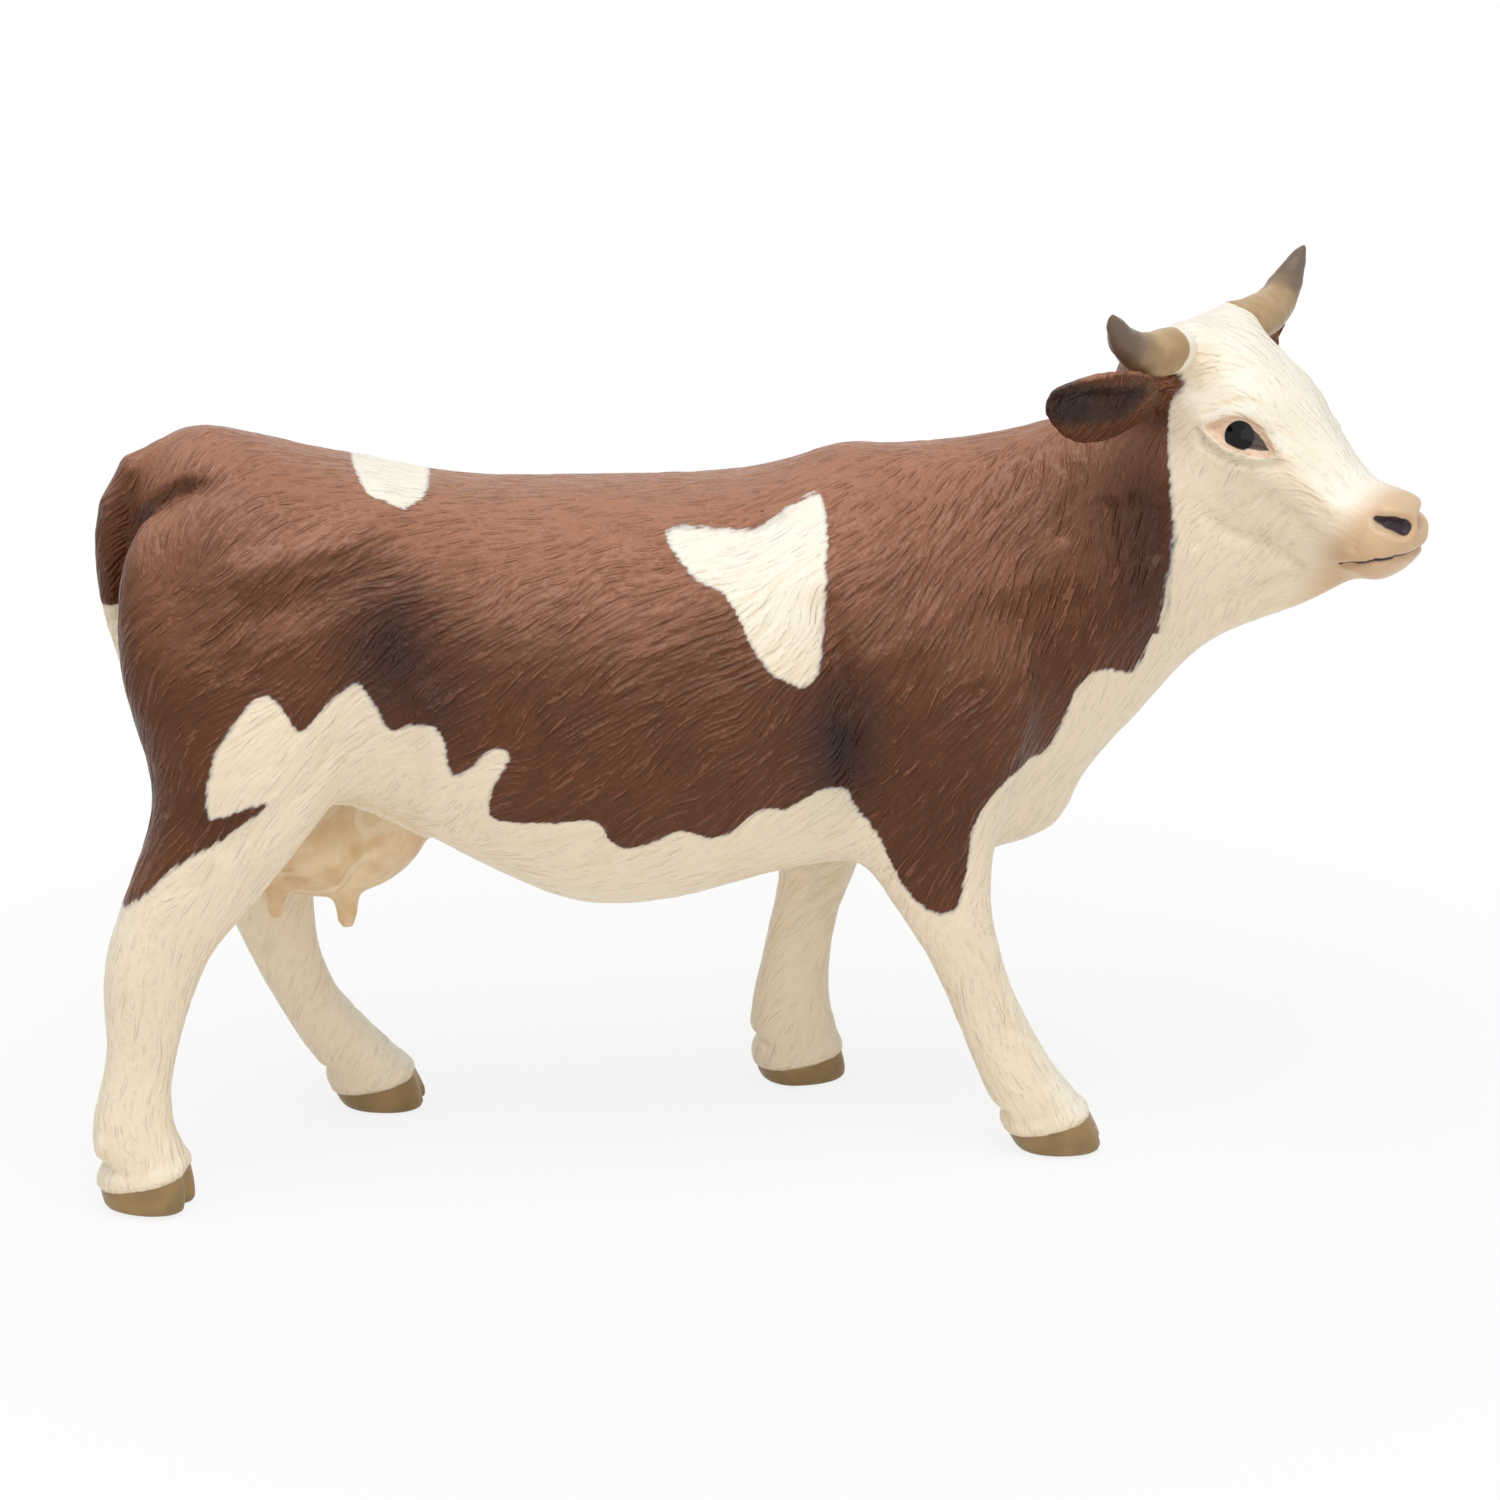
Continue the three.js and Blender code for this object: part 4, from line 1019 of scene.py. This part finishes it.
class Paint(Nodes):
    """A material and its nodes."""

    def __init__(self, name):
        self.material = bpy.data.materials.new(name)
        self.material.use_nodes = True
        super().__init__(self.material.node_tree)
        self.shader = self.tree.nodes["Principled BSDF"]
        self.place = self.out("ShaderNodeTexCoord", output="Object")

    def attribute(self, name, output="Fac"):
        """What the points were given under a name."""
        return self.out("ShaderNodeAttribute", {"attribute_name": name}, {}, output)

    def noise(self, size, detail=2.0, place=None):
        """Noise of about a size in millimetres, from about -0.5 to 0.5."""
        sockets = {"Vector": place or self.place, "Scale": 1 / (size * MM), "Detail": detail}
        return self.out("ShaderNodeTexNoise", {}, sockets) - 0.5

    def strokes(self, spacing, length, count):
        """Fine strokes along the hair, from about -0.5 to 0.5: noise averaged along each hair's length."""
        hair = self.attribute("hair", "Vector")
        total = 0
        for share in np.linspace(-0.5, 0.5, count):
            shift = (share * length * MM,) * 3
            sockets = {"Vector": hair, "Vector_001": shift, "Vector_002": self.place}
            moved = self.out("ShaderNodeVectorMath", {"operation": "MULTIPLY_ADD"}, sockets)
            total = total + self.noise(spacing, 0.0, moved)
        return total * (STROKE_CONTRAST / count)

    def mottled(self, dark, pale):
        """Paint that is darker in places of about 3 mm."""
        return self.mix((self.noise(3) + 0.5).step(0.2, 0.8), dark, pale)

    def height(self):
        """The height above the floor, in millimetres."""
        return self.out("ShaderNodeSeparateXYZ", {}, {"Vector": self.place}, "Z") * (1 / MM)

    def finish(self, colour, roughness, bump, depth):
        """Links a colour, a roughness and a bump of a depth in millimetres to the shader."""
        relief = self.out("ShaderNodeBump", {}, {"Height": bump, "Distance": depth * MM})
        sockets = {
            "Base Color": colour,
            "Roughness": roughness,
            "Specular IOR Level": GLOSS,
            "Normal": relief,
        }
        for key, value in sockets.items():
            self.join(self.shader, key, value)
        return self.material


def colour(code):
    """A colour from its six-digit screen code, as Blender's linear numbers."""
    shares = [int(code[k:k + 2], 16) / 255 for k in (0, 2, 4)]
    linear = [s / 12.92 if s <= 0.04045 else ((s + 0.055) / 1.055) ** 2.4 for s in shares]
    return (*linear, 1.0)


def udder_share(paint):
    """How much of the udder's paint there is, with a painted edge where the udder meets the belly."""
    return (paint.attribute("udder") + paint.noise(1.5) * 0.8).step(-0.15, 0.15)


def udder_colour(paint, paints):
    """The udder's peach, greyer towards its top."""
    base = paint.mottled(paints.udder_dark, paints.udder)
    return paint.mix((paint.height() + paint.noise(3) * 8).step(36, 46) * 0.5, base, paints.udder_top_grey)


def coat_paint(paints):
    """Brown and cream paint with its borders, washes and painted shade, painted light and highlights, eyes,
    muzzle and hooves.
    """
    paint = Paint("painted_coat")
    stroke = paint.attribute("stroke")
    fine = paint.strokes(*COAT_STROKES)
    # The fine strokes' ridges, raised in the relief and also painted paler as painted highlights.
    ridge = fine.step(0.05, 0.25) * (0.8 + paint.noise(7) * 1.6)
    wash_and_shade = paint.attribute("wash_and_shade")
    blotch = paint.noise(9)
    # How much the coat faces up, with blotches: where the painted light from above falls.
    upward = paint.attribute("upward") + blotch * 0.3
    brown = paint.layered(
        paints.brown_dark,
        # Darker in random blotches, and painted shade in the grooves between strokes.
        ((blotch + 0.5 + fine).step(0.1, 0.9), paints.brown),
        # Painted highlights: paler brown on the strokes' ridges.
        (ridge * 0.28, paints.brown_painted_light),
        # Painted light: paler brown where the coat faces up.
        (upward.step(0.1, 1.0), paints.brown_painted_light),
        # Partly the dark wash, partly painted shade in hollows and creases.
        (wash_and_shade * (1 + blotch), paints.wash_and_shade),
    )
    cream = paint.layered(
        paints.cream_dark,
        # Darker in random blotches, and painted shade in the grooves between strokes.
        ((stroke * 0.2 + blotch + 0.5).step(-0.7, 0.5), paints.cream),
        # Painted light: paler cream where the coat faces up.
        (upward.step(0.1, 0.8), paints.cream_painted_light),
        # The wash and painted shade, fainter and greyer on the cream.
        (wash_and_shade * 0.3, paints.fringe),
    )
    waver = paint.noise(2.2) * 0.5 + paint.noise(0.7) * 0.25
    edge = paint.attribute("cream") + waver + fine * 0.5
    creamy = edge.step(-0.12, 0.12)
    fringe = edge.step(-0.25, 0.0) * (1 - edge.step(0.05, 0.4))
    hoof = 1 - (paint.attribute("above_hoof") + paint.noise(1.2) * 0.5).step(-0.12, 0.12)
    eye = paint.attribute("eye") + paint.noise(0.8) * 0.12
    corner = eye.step(0.6, 0.8) * paint.attribute("eye_forward").step(-2.4, 0.4)
    pupil = paint.attribute("pupil").step(-0.08, 0.08) * eye.step(0.25, 0.45)
    dark = (paint.attribute("dark") + paint.noise(0.8) * 0.15).step(-0.1, 0.12)
    base = paint.layered(
        brown,
        (creamy, cream),
        (fringe * (0.35 + blotch), paints.fringe),
        (udder_share(paint), udder_colour(paint, paints)),
        (hoof, paint.mottled(paints.hoof_dark, paints.hoof)),
        (paint.attribute("muzzle") * (0.9 + blotch * 0.4), paints.muzzle),
        # Painted shade: a faint grey ring just outside the eyes' lids.
        (eye.step(-1.3, -0.3) * (1 - eye.step(-0.3, 0.0)) * 0.15, paints.fringe),
        (eye.step(-0.15, 0.1), paints.lid),
        (corner, paints.eye_corner),
        (pupil, paints.eye),
        (dark, paints.mouth),
    )
    roughness = 0.33 + paint.noise(2.5) * 0.12 + hoof * 0.06 - (pupil * 0.3 + dark * 0.12)
    relief = (ridge * 0.4 + fine) * (1 - creamy * 0.55) + paint.noise(0.3, 3) * 0.08
    relief = relief * (1 - pupil) * (1 - hoof * 0.9) * paint.attribute("hairy")
    return paint.finish(base, roughness, relief, 0.38)


def horn_paint(paints):
    """Beige horn that darkens to its tip."""
    paint = Paint("painted_horn")
    along = paint.attribute("along") + paint.noise(2.5) * 0.22
    root = paint.attribute("root") + paint.noise(1.2) * 0.5
    base = paint.layered(
        paint.mottled(paints.horn_dark, paints.horn),
        (along.step(0.5, 0.78), paints.horn_tip),
        ((1 - root.step(0.0, 1.6)) * 0.4, paints.horn_dark),
    )
    # The horn's root is cream like the skull, in the paler cream that is painted light.
    base = paint.mix(root.step(-0.12, 0.12), paints.cream_painted_light, base)
    return paint.finish(base, 0.36 + paint.noise(3) * 0.12, paint.noise(0.6, 3), 0.05)


def udder_paint(paints):
    """The udder's paint with pale veins, and cream at the edge of the belly."""
    paint = Paint("painted_udder")
    vein = paint.noise(6, 1)
    vein = 1 - (vein * vein).step(0.0, 0.008)
    base = paint.mix(vein * 0.25, udder_colour(paint, paints), paints.cream)
    base = paint.mix(udder_share(paint), paints.cream, base)
    relief = paint.noise(2.5, 2) * 0.9 + vein * 0.3
    return paint.finish(base, 0.36 + paint.noise(3) * 0.12, relief, 0.5)


# Making the horns along a curve.

# A horn's way from its seat in the skull, in the head's own frame, as shares of its length.
HORN_SEAT = np.array([0.3, 5.6, -1.7])
HORN_WAY = np.array([(0, 0, 0), (0.02, 0.39, 0.02), (-0.07, 0.66, 0.09), (-0.21, 0.9, 0.33)])
# How deep its root is sunk in the skull.
HORN_SUNK = 3.0
# How far out from the middle the cream of the skull ends on a horn's top, how much further out it goes
# for each millimetre down, and how much less far for each millimetre to the rear.
HORN_ROOTS = {RIGHT: 8.2, LEFT: 4.2}
ROOT_SLANT = 0.5
ROOT_TURNS = {RIGHT: 0.9, LEFT: 0.0}
# Where along it a horn reaches its full thickness, and its share of that at the start.
HORN_SWELLS = {RIGHT: 0.34, LEFT: 0.12}
HORN_START = 0.45
# The powers that round a horn off to its tip, which stays a little open, and the noise on it.
TIP_POWERS = (2.2, 0.62)
TIP_SHARE = 0.9995
HORN_NOISE = 500.0
# The straight stretches that its curve is first drawn in.
CURVE_STRETCHES = 64


def curve_handles(way):
    """The two handles of a smooth curve through four places."""
    first = (-5 * way[0] + 18 * way[1] - 9 * way[2] + 2 * way[3]) / 6
    second = (2 * way[0] - 9 * way[1] + 18 * way[2] - 5 * way[3]) / 6
    return first, second


HORN_PLACES = ("Start", "Start Handle", "End Handle", "End")
HORN_INPUTS = {
    **{name: "NodeSocketVector" for name in HORN_PLACES},
    **{name: "NodeSocketFloat" for name in ("Radius", "Root", "Unevenness", "Seed")},
    **{name: "NodeSocketInt" for name in ("Rings", "Sides")},
}


def horn_tree(material):
    """A tree for one tapering horn along a curve, and its inputs' identifiers."""
    tree = bpy.data.node_groups.new("horn", "GeometryNodeTree")
    tree.interface.new_socket("Geometry", in_out="OUTPUT", socket_type="NodeSocketGeometry")
    inputs = {
        name: tree.interface.new_socket(name, in_out="INPUT", socket_type=kind).identifier
        for name, kind in HORN_INPUTS.items()
    }
    nodes = Nodes(tree)
    sources = nodes.node("NodeGroupInput").outputs
    given = {name: Value(nodes, sources[name]) for name in HORN_INPUTS}
    ends = {name: given[name] for name in HORN_PLACES}
    curve = nodes.out(
        "GeometryNodeCurvePrimitiveBezierSegment",
        {"mode": "POSITION"},
        {"Resolution": CURVE_STRETCHES, **ends},
    )
    rings = {"Curve": curve, "Count": given["Rings"]}
    even = nodes.out("GeometryNodeResampleCurve", {"mode": "COUNT"}, rings)
    along = nodes.out("GeometryNodeSplineParameter")
    swell = HORN_START + along.step(0.0, given["Root"]) * (1 - HORN_START)
    taper = (1 - (along * TIP_SHARE) ** TIP_POWERS[0]) ** TIP_POWERS[1] * swell
    kept = nodes.out(
        "GeometryNodeStoreNamedAttribute",
        {"data_type": "FLOAT", "domain": "POINT"},
        {"Geometry": even, "Name": "along", "Value": along},
    )
    ring = nodes.out(
        "GeometryNodeCurvePrimitiveCircle", {"mode": "RADIUS"}, {"Resolution": given["Sides"], "Radius": 1.0}
    )
    tube = nodes.out(
        "GeometryNodeCurveToMesh",
        {},
        {"Curve": kept, "Profile Curve": ring, "Scale": taper * given["Radius"], "Fill Caps": True},
    )
    noise = nodes.out(
        "ShaderNodeTexNoise",
        {"noise_dimensions": "4D"},
        {"Scale": HORN_NOISE, "Detail": 1.0, "W": given["Seed"]},
    )
    offset = nodes.out(
        "ShaderNodeVectorMath",
        {"operation": "SCALE"},
        {"Vector": nodes.out("GeometryNodeInputNormal"), "Scale": (noise - 0.5) * given["Unevenness"]},
    )
    shaped = nodes.out("GeometryNodeSetPosition", {}, {"Geometry": tube, "Offset": offset})
    soft = nodes.out("GeometryNodeSetShadeSmooth", {}, {"Geometry": shaped})
    real = nodes.out("GeometryNodeRealizeInstances", {}, {"Geometry": soft})
    painted = nodes.out("GeometryNodeSetMaterial", {}, {"Geometry": real, "Material": material})
    nodes.node("NodeGroupOutput", {}, {"Geometry": painted})
    return tree, inputs


def horn(name, side, tree, inputs, settings):
    """A horn of one side, as a plain mesh."""
    turned = np.array([1, side, 1])
    way = (HORN_SEAT + HORN_WAY * settings.length / MM) * turned
    first, second = curve_handles(way)
    start = way[0] - turned * np.array([0, HORN_SUNK, 0])
    places = zip(HORN_PLACES, (start, first, second, way[3]))
    values = {key: Vector(from_head(place) * MM) for key, place in places}
    values |= {"Root": HORN_SWELLS[side], "Seed": float(side)}
    values |= {key: getattr(settings, key.lower()) for key in ("Radius", "Rings", "Sides", "Unevenness")}
    thing = link(name, bpy.data.meshes.new(name))
    modifier = thing.modifiers.new("horn", "NODES")
    modifier.node_group = tree
    for key, value in values.items():
        modifier[inputs[key]] = value
    thing.data = evaluated(thing)
    thing.data.name = name
    thing.modifiers.clear()
    places = head_place(mesh_points(thing.data))
    behind = np.maximum(HORN_SEAT[0] - places[:, 0], 0)
    root = side * places[:, 1] - HORN_ROOTS[side] - ROOT_SLANT * (1 - places[:, 2])
    give(thing.data, "root", root + ROOT_TURNS[side] * behind)
    return thing


# What a user may change.


def length_property(name, description, default):
    """A length in metres."""
    return FloatProperty(name=name, description=description, default=default, unit="LENGTH", precision=5)


def angle_property(name, description, degrees):
    """An angle whose default is in degrees."""
    return FloatProperty(name=name, description=description, default=math.radians(degrees), subtype="ANGLE")


def level_property(name, description, default):
    """A level of light, where 1 is white."""
    return FloatProperty(name=name, description=description, default=default, subtype="FACTOR")


def count_property(name, description, default):
    """A whole number."""
    return IntProperty(name=name, description=description, default=default)


def colour_property(name, description, code):
    """A colour from its screen code."""
    return FloatVectorProperty(
        name=name, description=description, default=colour(code), size=4, min=0, max=1, subtype="COLOR"
    )


class SkinSettings(bpy.types.PropertyGroup):
    """The skin's fillets and its coat of strokes."""

    fillet: length_property("Fillet", "Radius between the trunk, head and legs", 0.004)
    root_fillet: length_property("Root fillet", "Radius at the ears, udder and tail", 0.0015)
    stroke_depth: length_property("Stroke depth", "Depth of the coat's strokes", 0.00003)
    stroke_spacing: length_property("Stroke spacing", "Distance between the coat's strokes", 0.00055)
    stroke_length: length_property("Stroke length", "Length of the coat's strokes", 0.0036)
    seed: count_property("Seed", "Seed of the coat's strokes", 7)
    most_triangles: count_property("Most triangles", "Most triangles in one piece", 190000)


class HornSettings(bpy.types.PropertyGroup):
    """The horns' sizes."""

    length: length_property("Length", "Length of a horn from its seat", 0.0154)
    radius: length_property("Radius", "Radius at the root", 0.0027)
    unevenness: length_property("Unevenness", "How much a horn swells and shrinks", 0.0005)
    rings: count_property("Rings", "Rings along a horn", 72)
    sides: count_property("Sides", "Sides of each ring", 40)


class PaintSettings(bpy.types.PropertyGroup):
    """The paints."""

    brown: colour_property("Brown", "The coat's brown", "67381a")
    # Partly random mottling, partly painted shade in the grooves between strokes.
    brown_dark: colour_property("Dark brown", "The coat's darker brown", "572f16")
    # Painted light and painted highlights: the paler brown where the coat faces up and on the strokes'
    # ridges.
    brown_painted_light: colour_property("Pale brown", "The paler brown along the back", "ac775c")
    # Partly the dark wash of the paint, partly painted shade in hollows and creases.
    wash_and_shade: colour_property("Wash", "The dark wash in hollows", "301b13")
    cream: colour_property("Cream", "The coat's cream", "f6e6ca")
    # Painted light: the paler cream where the coat faces up.
    cream_painted_light: colour_property("Pale cream", "The paler cream where it faces up", "fbf3e2")
    # Partly random mottling, partly painted shade in the grooves between strokes.
    cream_dark: colour_property("Dark cream", "The darker cream between strokes", "e4d2ae")
    # Also laid thinly as painted shade round the eyes and with the dark paint on the cream.
    fringe: colour_property("Fringe", "The grey edge of the brown paint", "8d8a90")
    hoof: colour_property("Hoof", "The hooves", "a8895e")
    hoof_dark: colour_property("Dark hoof", "The hooves' darker streaks", "8a744f")
    muzzle: colour_property("Muzzle", "The muzzle's peach", "d8b38a")
    lid: colour_property("Eyelid", "The eyes' rims", "e8c8ac")
    eye_corner: colour_property("Eye corner", "The eyes' dark front corners", "584a48")
    eye: colour_property("Eye", "The eyes' black", "060506")
    mouth: colour_property("Mouth", "The nostrils and the mouth's line", "3c3038")
    horn: colour_property("Horn", "The horns' beige", "c4a67d")
    horn_dark: colour_property("Dark horn", "The horns' darker beige", "a98a62")
    horn_tip: colour_property("Horn tip", "The horns' tips", "766455")
    udder: colour_property("Udder", "The udder's peach", "f0d6ae")
    udder_dark: colour_property("Dark udder", "The udder's darker peach", "d2ae80")
    # Greyer towards the udder's top, where it meets the belly.
    udder_top_grey: colour_property("Udder's wash", "The grey wash at the udder's top", "8a8468")


class StageSettings(bpy.types.PropertyGroup):
    """The camera and the studio."""

    azimuth: angle_property("Azimuth", "The camera's turn about the figurine", -10)
    elevation: angle_property("Elevation", "The camera's angle above the floor", 18)
    distance: length_property("Distance", "From the camera to its target", 0.65)
    target: FloatVectorProperty(
        name="Target",
        description="What the camera looks at",
        default=(0.00173, 0.00211, 0.0434),
        subtype="TRANSLATION",
    )
    lens: FloatProperty(name="Lens", description="Focal length in millimetres", default=143.5)
    key_level: level_property("Key", "The lamp overhead's level", 0.58)
    fill_level: level_property("Fill", "The lamp in front's level", 0.15)
    sky_level: level_property("Sky", "The light from all round", 0.49)


# Making the pieces.

shared = {}


def skin_made(context):
    """The figurine's skin, sculpted once for all its pieces."""
    if "skin" not in shared:
        shared["skin"] = Skin(context.scene.figurine_skin)
    return shared["skin"]


def material_made(make, context):
    """A paint, mixed once for all the pieces that wear it."""
    if make not in shared:
        shared[make] = make(context.scene.figurine_paint)
    return shared[make]


def place_piece(thing, node):
    """Fixes a finished piece to the frame in its node's place."""
    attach(thing, "root")
    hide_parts(node)


def make_skin_pieces(context, nodes, paint=coat_paint):
    """Makes the pieces of the skin that stand for some nodes."""
    for node in nodes:
        skin = skin_made(context)
        thing = skin_piece(skin, node, context.scene.figurine_skin)
        paint_points(thing, node, skin, context.scene.figurine_skin)
        thing.data.materials.append(material_made(paint, context))
        place_piece(thing, node)
    return {"FINISHED"}


class FIGURINE_OT_body(bpy.types.Operator):
    """Makes the trunk and neck."""

    bl_idname = "figurine.body"
    bl_label = "Body"

    def execute(self, context):
        return make_skin_pieces(context, ["body"])


class FIGURINE_OT_head(bpy.types.Operator):
    """Makes the head with its face."""

    bl_idname = "figurine.head"
    bl_label = "Head"

    def execute(self, context):
        return make_skin_pieces(context, ["head"])


class FIGURINE_OT_horns(bpy.types.Operator):
    """Makes the two horns."""

    bl_idname = "figurine.horns"
    bl_label = "Horns"

    def execute(self, context):
        tree, inputs = horn_tree(material_made(horn_paint, context))
        for name, side in (("horn_right", RIGHT), ("horn_left", LEFT)):
            thing = horn(name, side, tree, inputs, context.scene.figurine_horn)
            place_piece(thing, name)
        return {"FINISHED"}


class FIGURINE_OT_ears(bpy.types.Operator):
    """Makes the two ears."""

    bl_idname = "figurine.ears"
    bl_label = "Ears"

    def execute(self, context):
        return make_skin_pieces(context, ["ear_right", "ear_left"])


class FIGURINE_OT_legs(bpy.types.Operator):
    """Makes the four legs with their hooves."""

    bl_idname = "figurine.legs"
    bl_label = "Legs"

    def execute(self, context):
        return make_skin_pieces(context, [name for name in NODES if "leg" in name])


class FIGURINE_OT_udder(bpy.types.Operator):
    """Makes the udder and its teats."""

    bl_idname = "figurine.udder"
    bl_label = "Udder"

    def execute(self, context):
        return make_skin_pieces(context, ["udder"], udder_paint)


class FIGURINE_OT_tail(bpy.types.Operator):
    """Makes the tail and its switch."""

    bl_idname = "figurine.tail"
    bl_label = "Tail"

    def execute(self, context):
        return make_skin_pieces(context, ["tail"])


# Setting the stage.

# Half the floor's width, its corners as shares of that, and its colour.
FLOOR_HALF = 3.0
FLOOR_CORNERS = np.array([(-1, -1, 0), (1, -1, 0), (1, 1, 0), (-1, 1, 0)])
FLOOR_COLOUR = (0.85, 0.84, 0.83, 1)
# How much of the floor is plain white near the figurine, and where it turns all white.
FLOOR_WHITE = 0.84
FLOOR_FADE = (0.07, 0.16)
WHITE = (1, 1, 1, 1)
# The lamps' places and widths, and the width of the camera's sensor in millimetres.
KEY_PLACE = Vector((-0.1, -0.3, 1.05))
KEY_SIZE = 0.75
FILL_PLACE = Vector((0.0, -1.0, 0.35))
FILL_SIZE = 0.8
SENSOR = 36


def background_rays(nodes):
    """1 for the rays that show the background, and 0 for those that light the figurine."""
    path = nodes.node("ShaderNodeLightPath").outputs
    kinds = ("Is Camera Ray", "Is Glossy Ray", "Is Transmission Ray")
    return sum(Value(nodes, path[kind]) for kind in kinds).step(0.0, 1.0)


def floor_paint():
    """A pale floor that keeps the figurine's shadow and fades to white away from it."""
    paint = Paint("pale_floor")
    paint.tree.nodes.remove(paint.shader)
    reach = paint.out("ShaderNodeVectorMath", {"operation": "LENGTH"}, {"Vector": paint.place}, "Value")
    away = FLOOR_WHITE + reach.step(*FLOOR_FADE) * (1 - FLOOR_WHITE)
    pale = paint.out("ShaderNodeBsdfDiffuse", {}, {"Color": FLOOR_COLOUR})
    white = paint.out("ShaderNodeEmission", {}, {"Color": WHITE, "Strength": 1.0})
    sockets = {"Fac": away * background_rays(paint), "Shader": pale, "Shader_001": white}
    both = paint.out("ShaderNodeMixShader", {}, sockets)
    paint.join(paint.tree.nodes["Material Output"], "Surface", both)
    return paint.material


def add_lamp(name, place, target, size, level):
    """A square lamp that lights a surface facing it to about a level of its colour."""
    lamp = bpy.data.lights.new(name, "AREA")
    lamp.size = size
    way = target - place
    lamp.energy = level * math.pi ** 2 * way.length_squared
    thing = link(name, lamp)
    thing.location = place
    thing.rotation_euler = way.to_track_quat("-Z", "Y").to_euler()


class FIGURINE_OT_stage(bpy.types.Operator):
    """Sets the floor, the lamps, the white background and the camera."""

    bl_idname = "figurine.stage"
    bl_label = "Stage"

    def execute(self, context):
        scene = context.scene
        settings = scene.figurine_stage
        corners = FLOOR_CORNERS * FLOOR_HALF / MM
        floor = link("floor", new_mesh("floor", corners, [np.array([[0, 1, 2, 3]])]))
        floor.data.materials.append(floor_paint())

        target = Vector(settings.target)
        add_lamp("key_lamp", KEY_PLACE, target, KEY_SIZE, settings.key_level)
        add_lamp("fill_lamp", FILL_PLACE, target, FILL_SIZE, settings.fill_level)

        scene.world = bpy.data.worlds.new("white_studio")
        scene.world.use_nodes = True
        nodes = Nodes(scene.world.node_tree)
        sky = (settings.sky_level,) * 3 + (1,)
        shown = nodes.mix(background_rays(nodes), sky, WHITE)
        nodes.join(nodes.tree.nodes["Background"], "Color", shown)

        turn = settings.azimuth
        rise = settings.elevation
        level = math.cos(rise)
        back = Vector((math.sin(turn) * level, -math.cos(turn) * level, math.sin(rise)))
        camera = link("camera", bpy.data.cameras.new("camera"))
        camera.data.lens = settings.lens
        camera.data.sensor_width = SENSOR
        camera.location = target + back * settings.distance
        camera.rotation_euler = (-back).to_track_quat("-Z", "Y").to_euler()
        scene.camera = camera
        scene.view_settings.view_transform = "Standard"
        return {"FINISHED"}


class FIGURINE_PT_panel(bpy.types.Panel):
    """Lists the figurine's pieces and its stage."""

    bl_idname = "FIGURINE_PT_panel"
    bl_label = "Painted cow figurine"
    bl_space_type = "VIEW_3D"
    bl_region_type = "UI"
    bl_category = "Figurine"

    def draw(self, context):
        for operator in OPERATORS:
            self.layout.operator(operator.bl_idname)


OPERATORS = (
    FIGURINE_OT_body,
    FIGURINE_OT_head,
    FIGURINE_OT_horns,
    FIGURINE_OT_ears,
    FIGURINE_OT_legs,
    FIGURINE_OT_udder,
    FIGURINE_OT_tail,
    FIGURINE_OT_stage,
)
SETTINGS = {
    "figurine_skin": SkinSettings,
    "figurine_horn": HornSettings,
    "figurine_paint": PaintSettings,
    "figurine_stage": StageSettings,
}


def register():
    for kind in (*SETTINGS.values(), *OPERATORS, FIGURINE_PT_panel):
        bpy.utils.register_class(kind)
    for name, kind in SETTINGS.items():
        setattr(bpy.types.Scene, name, PointerProperty(type=kind))


def unregister():
    for name in SETTINGS:
        delattr(bpy.types.Scene, name)
    for kind in reversed((*SETTINGS.values(), *OPERATORS, FIGURINE_PT_panel)):
        bpy.utils.unregister_class(kind)


def main():
    register()
    bpy.ops.figurine.body()
    bpy.ops.figurine.head()
    bpy.ops.figurine.horns()
    bpy.ops.figurine.ears()
    bpy.ops.figurine.legs()
    bpy.ops.figurine.udder()
    bpy.ops.figurine.tail()
    bpy.ops.figurine.stage()
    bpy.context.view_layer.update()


if __name__ == "__main__":
    main()
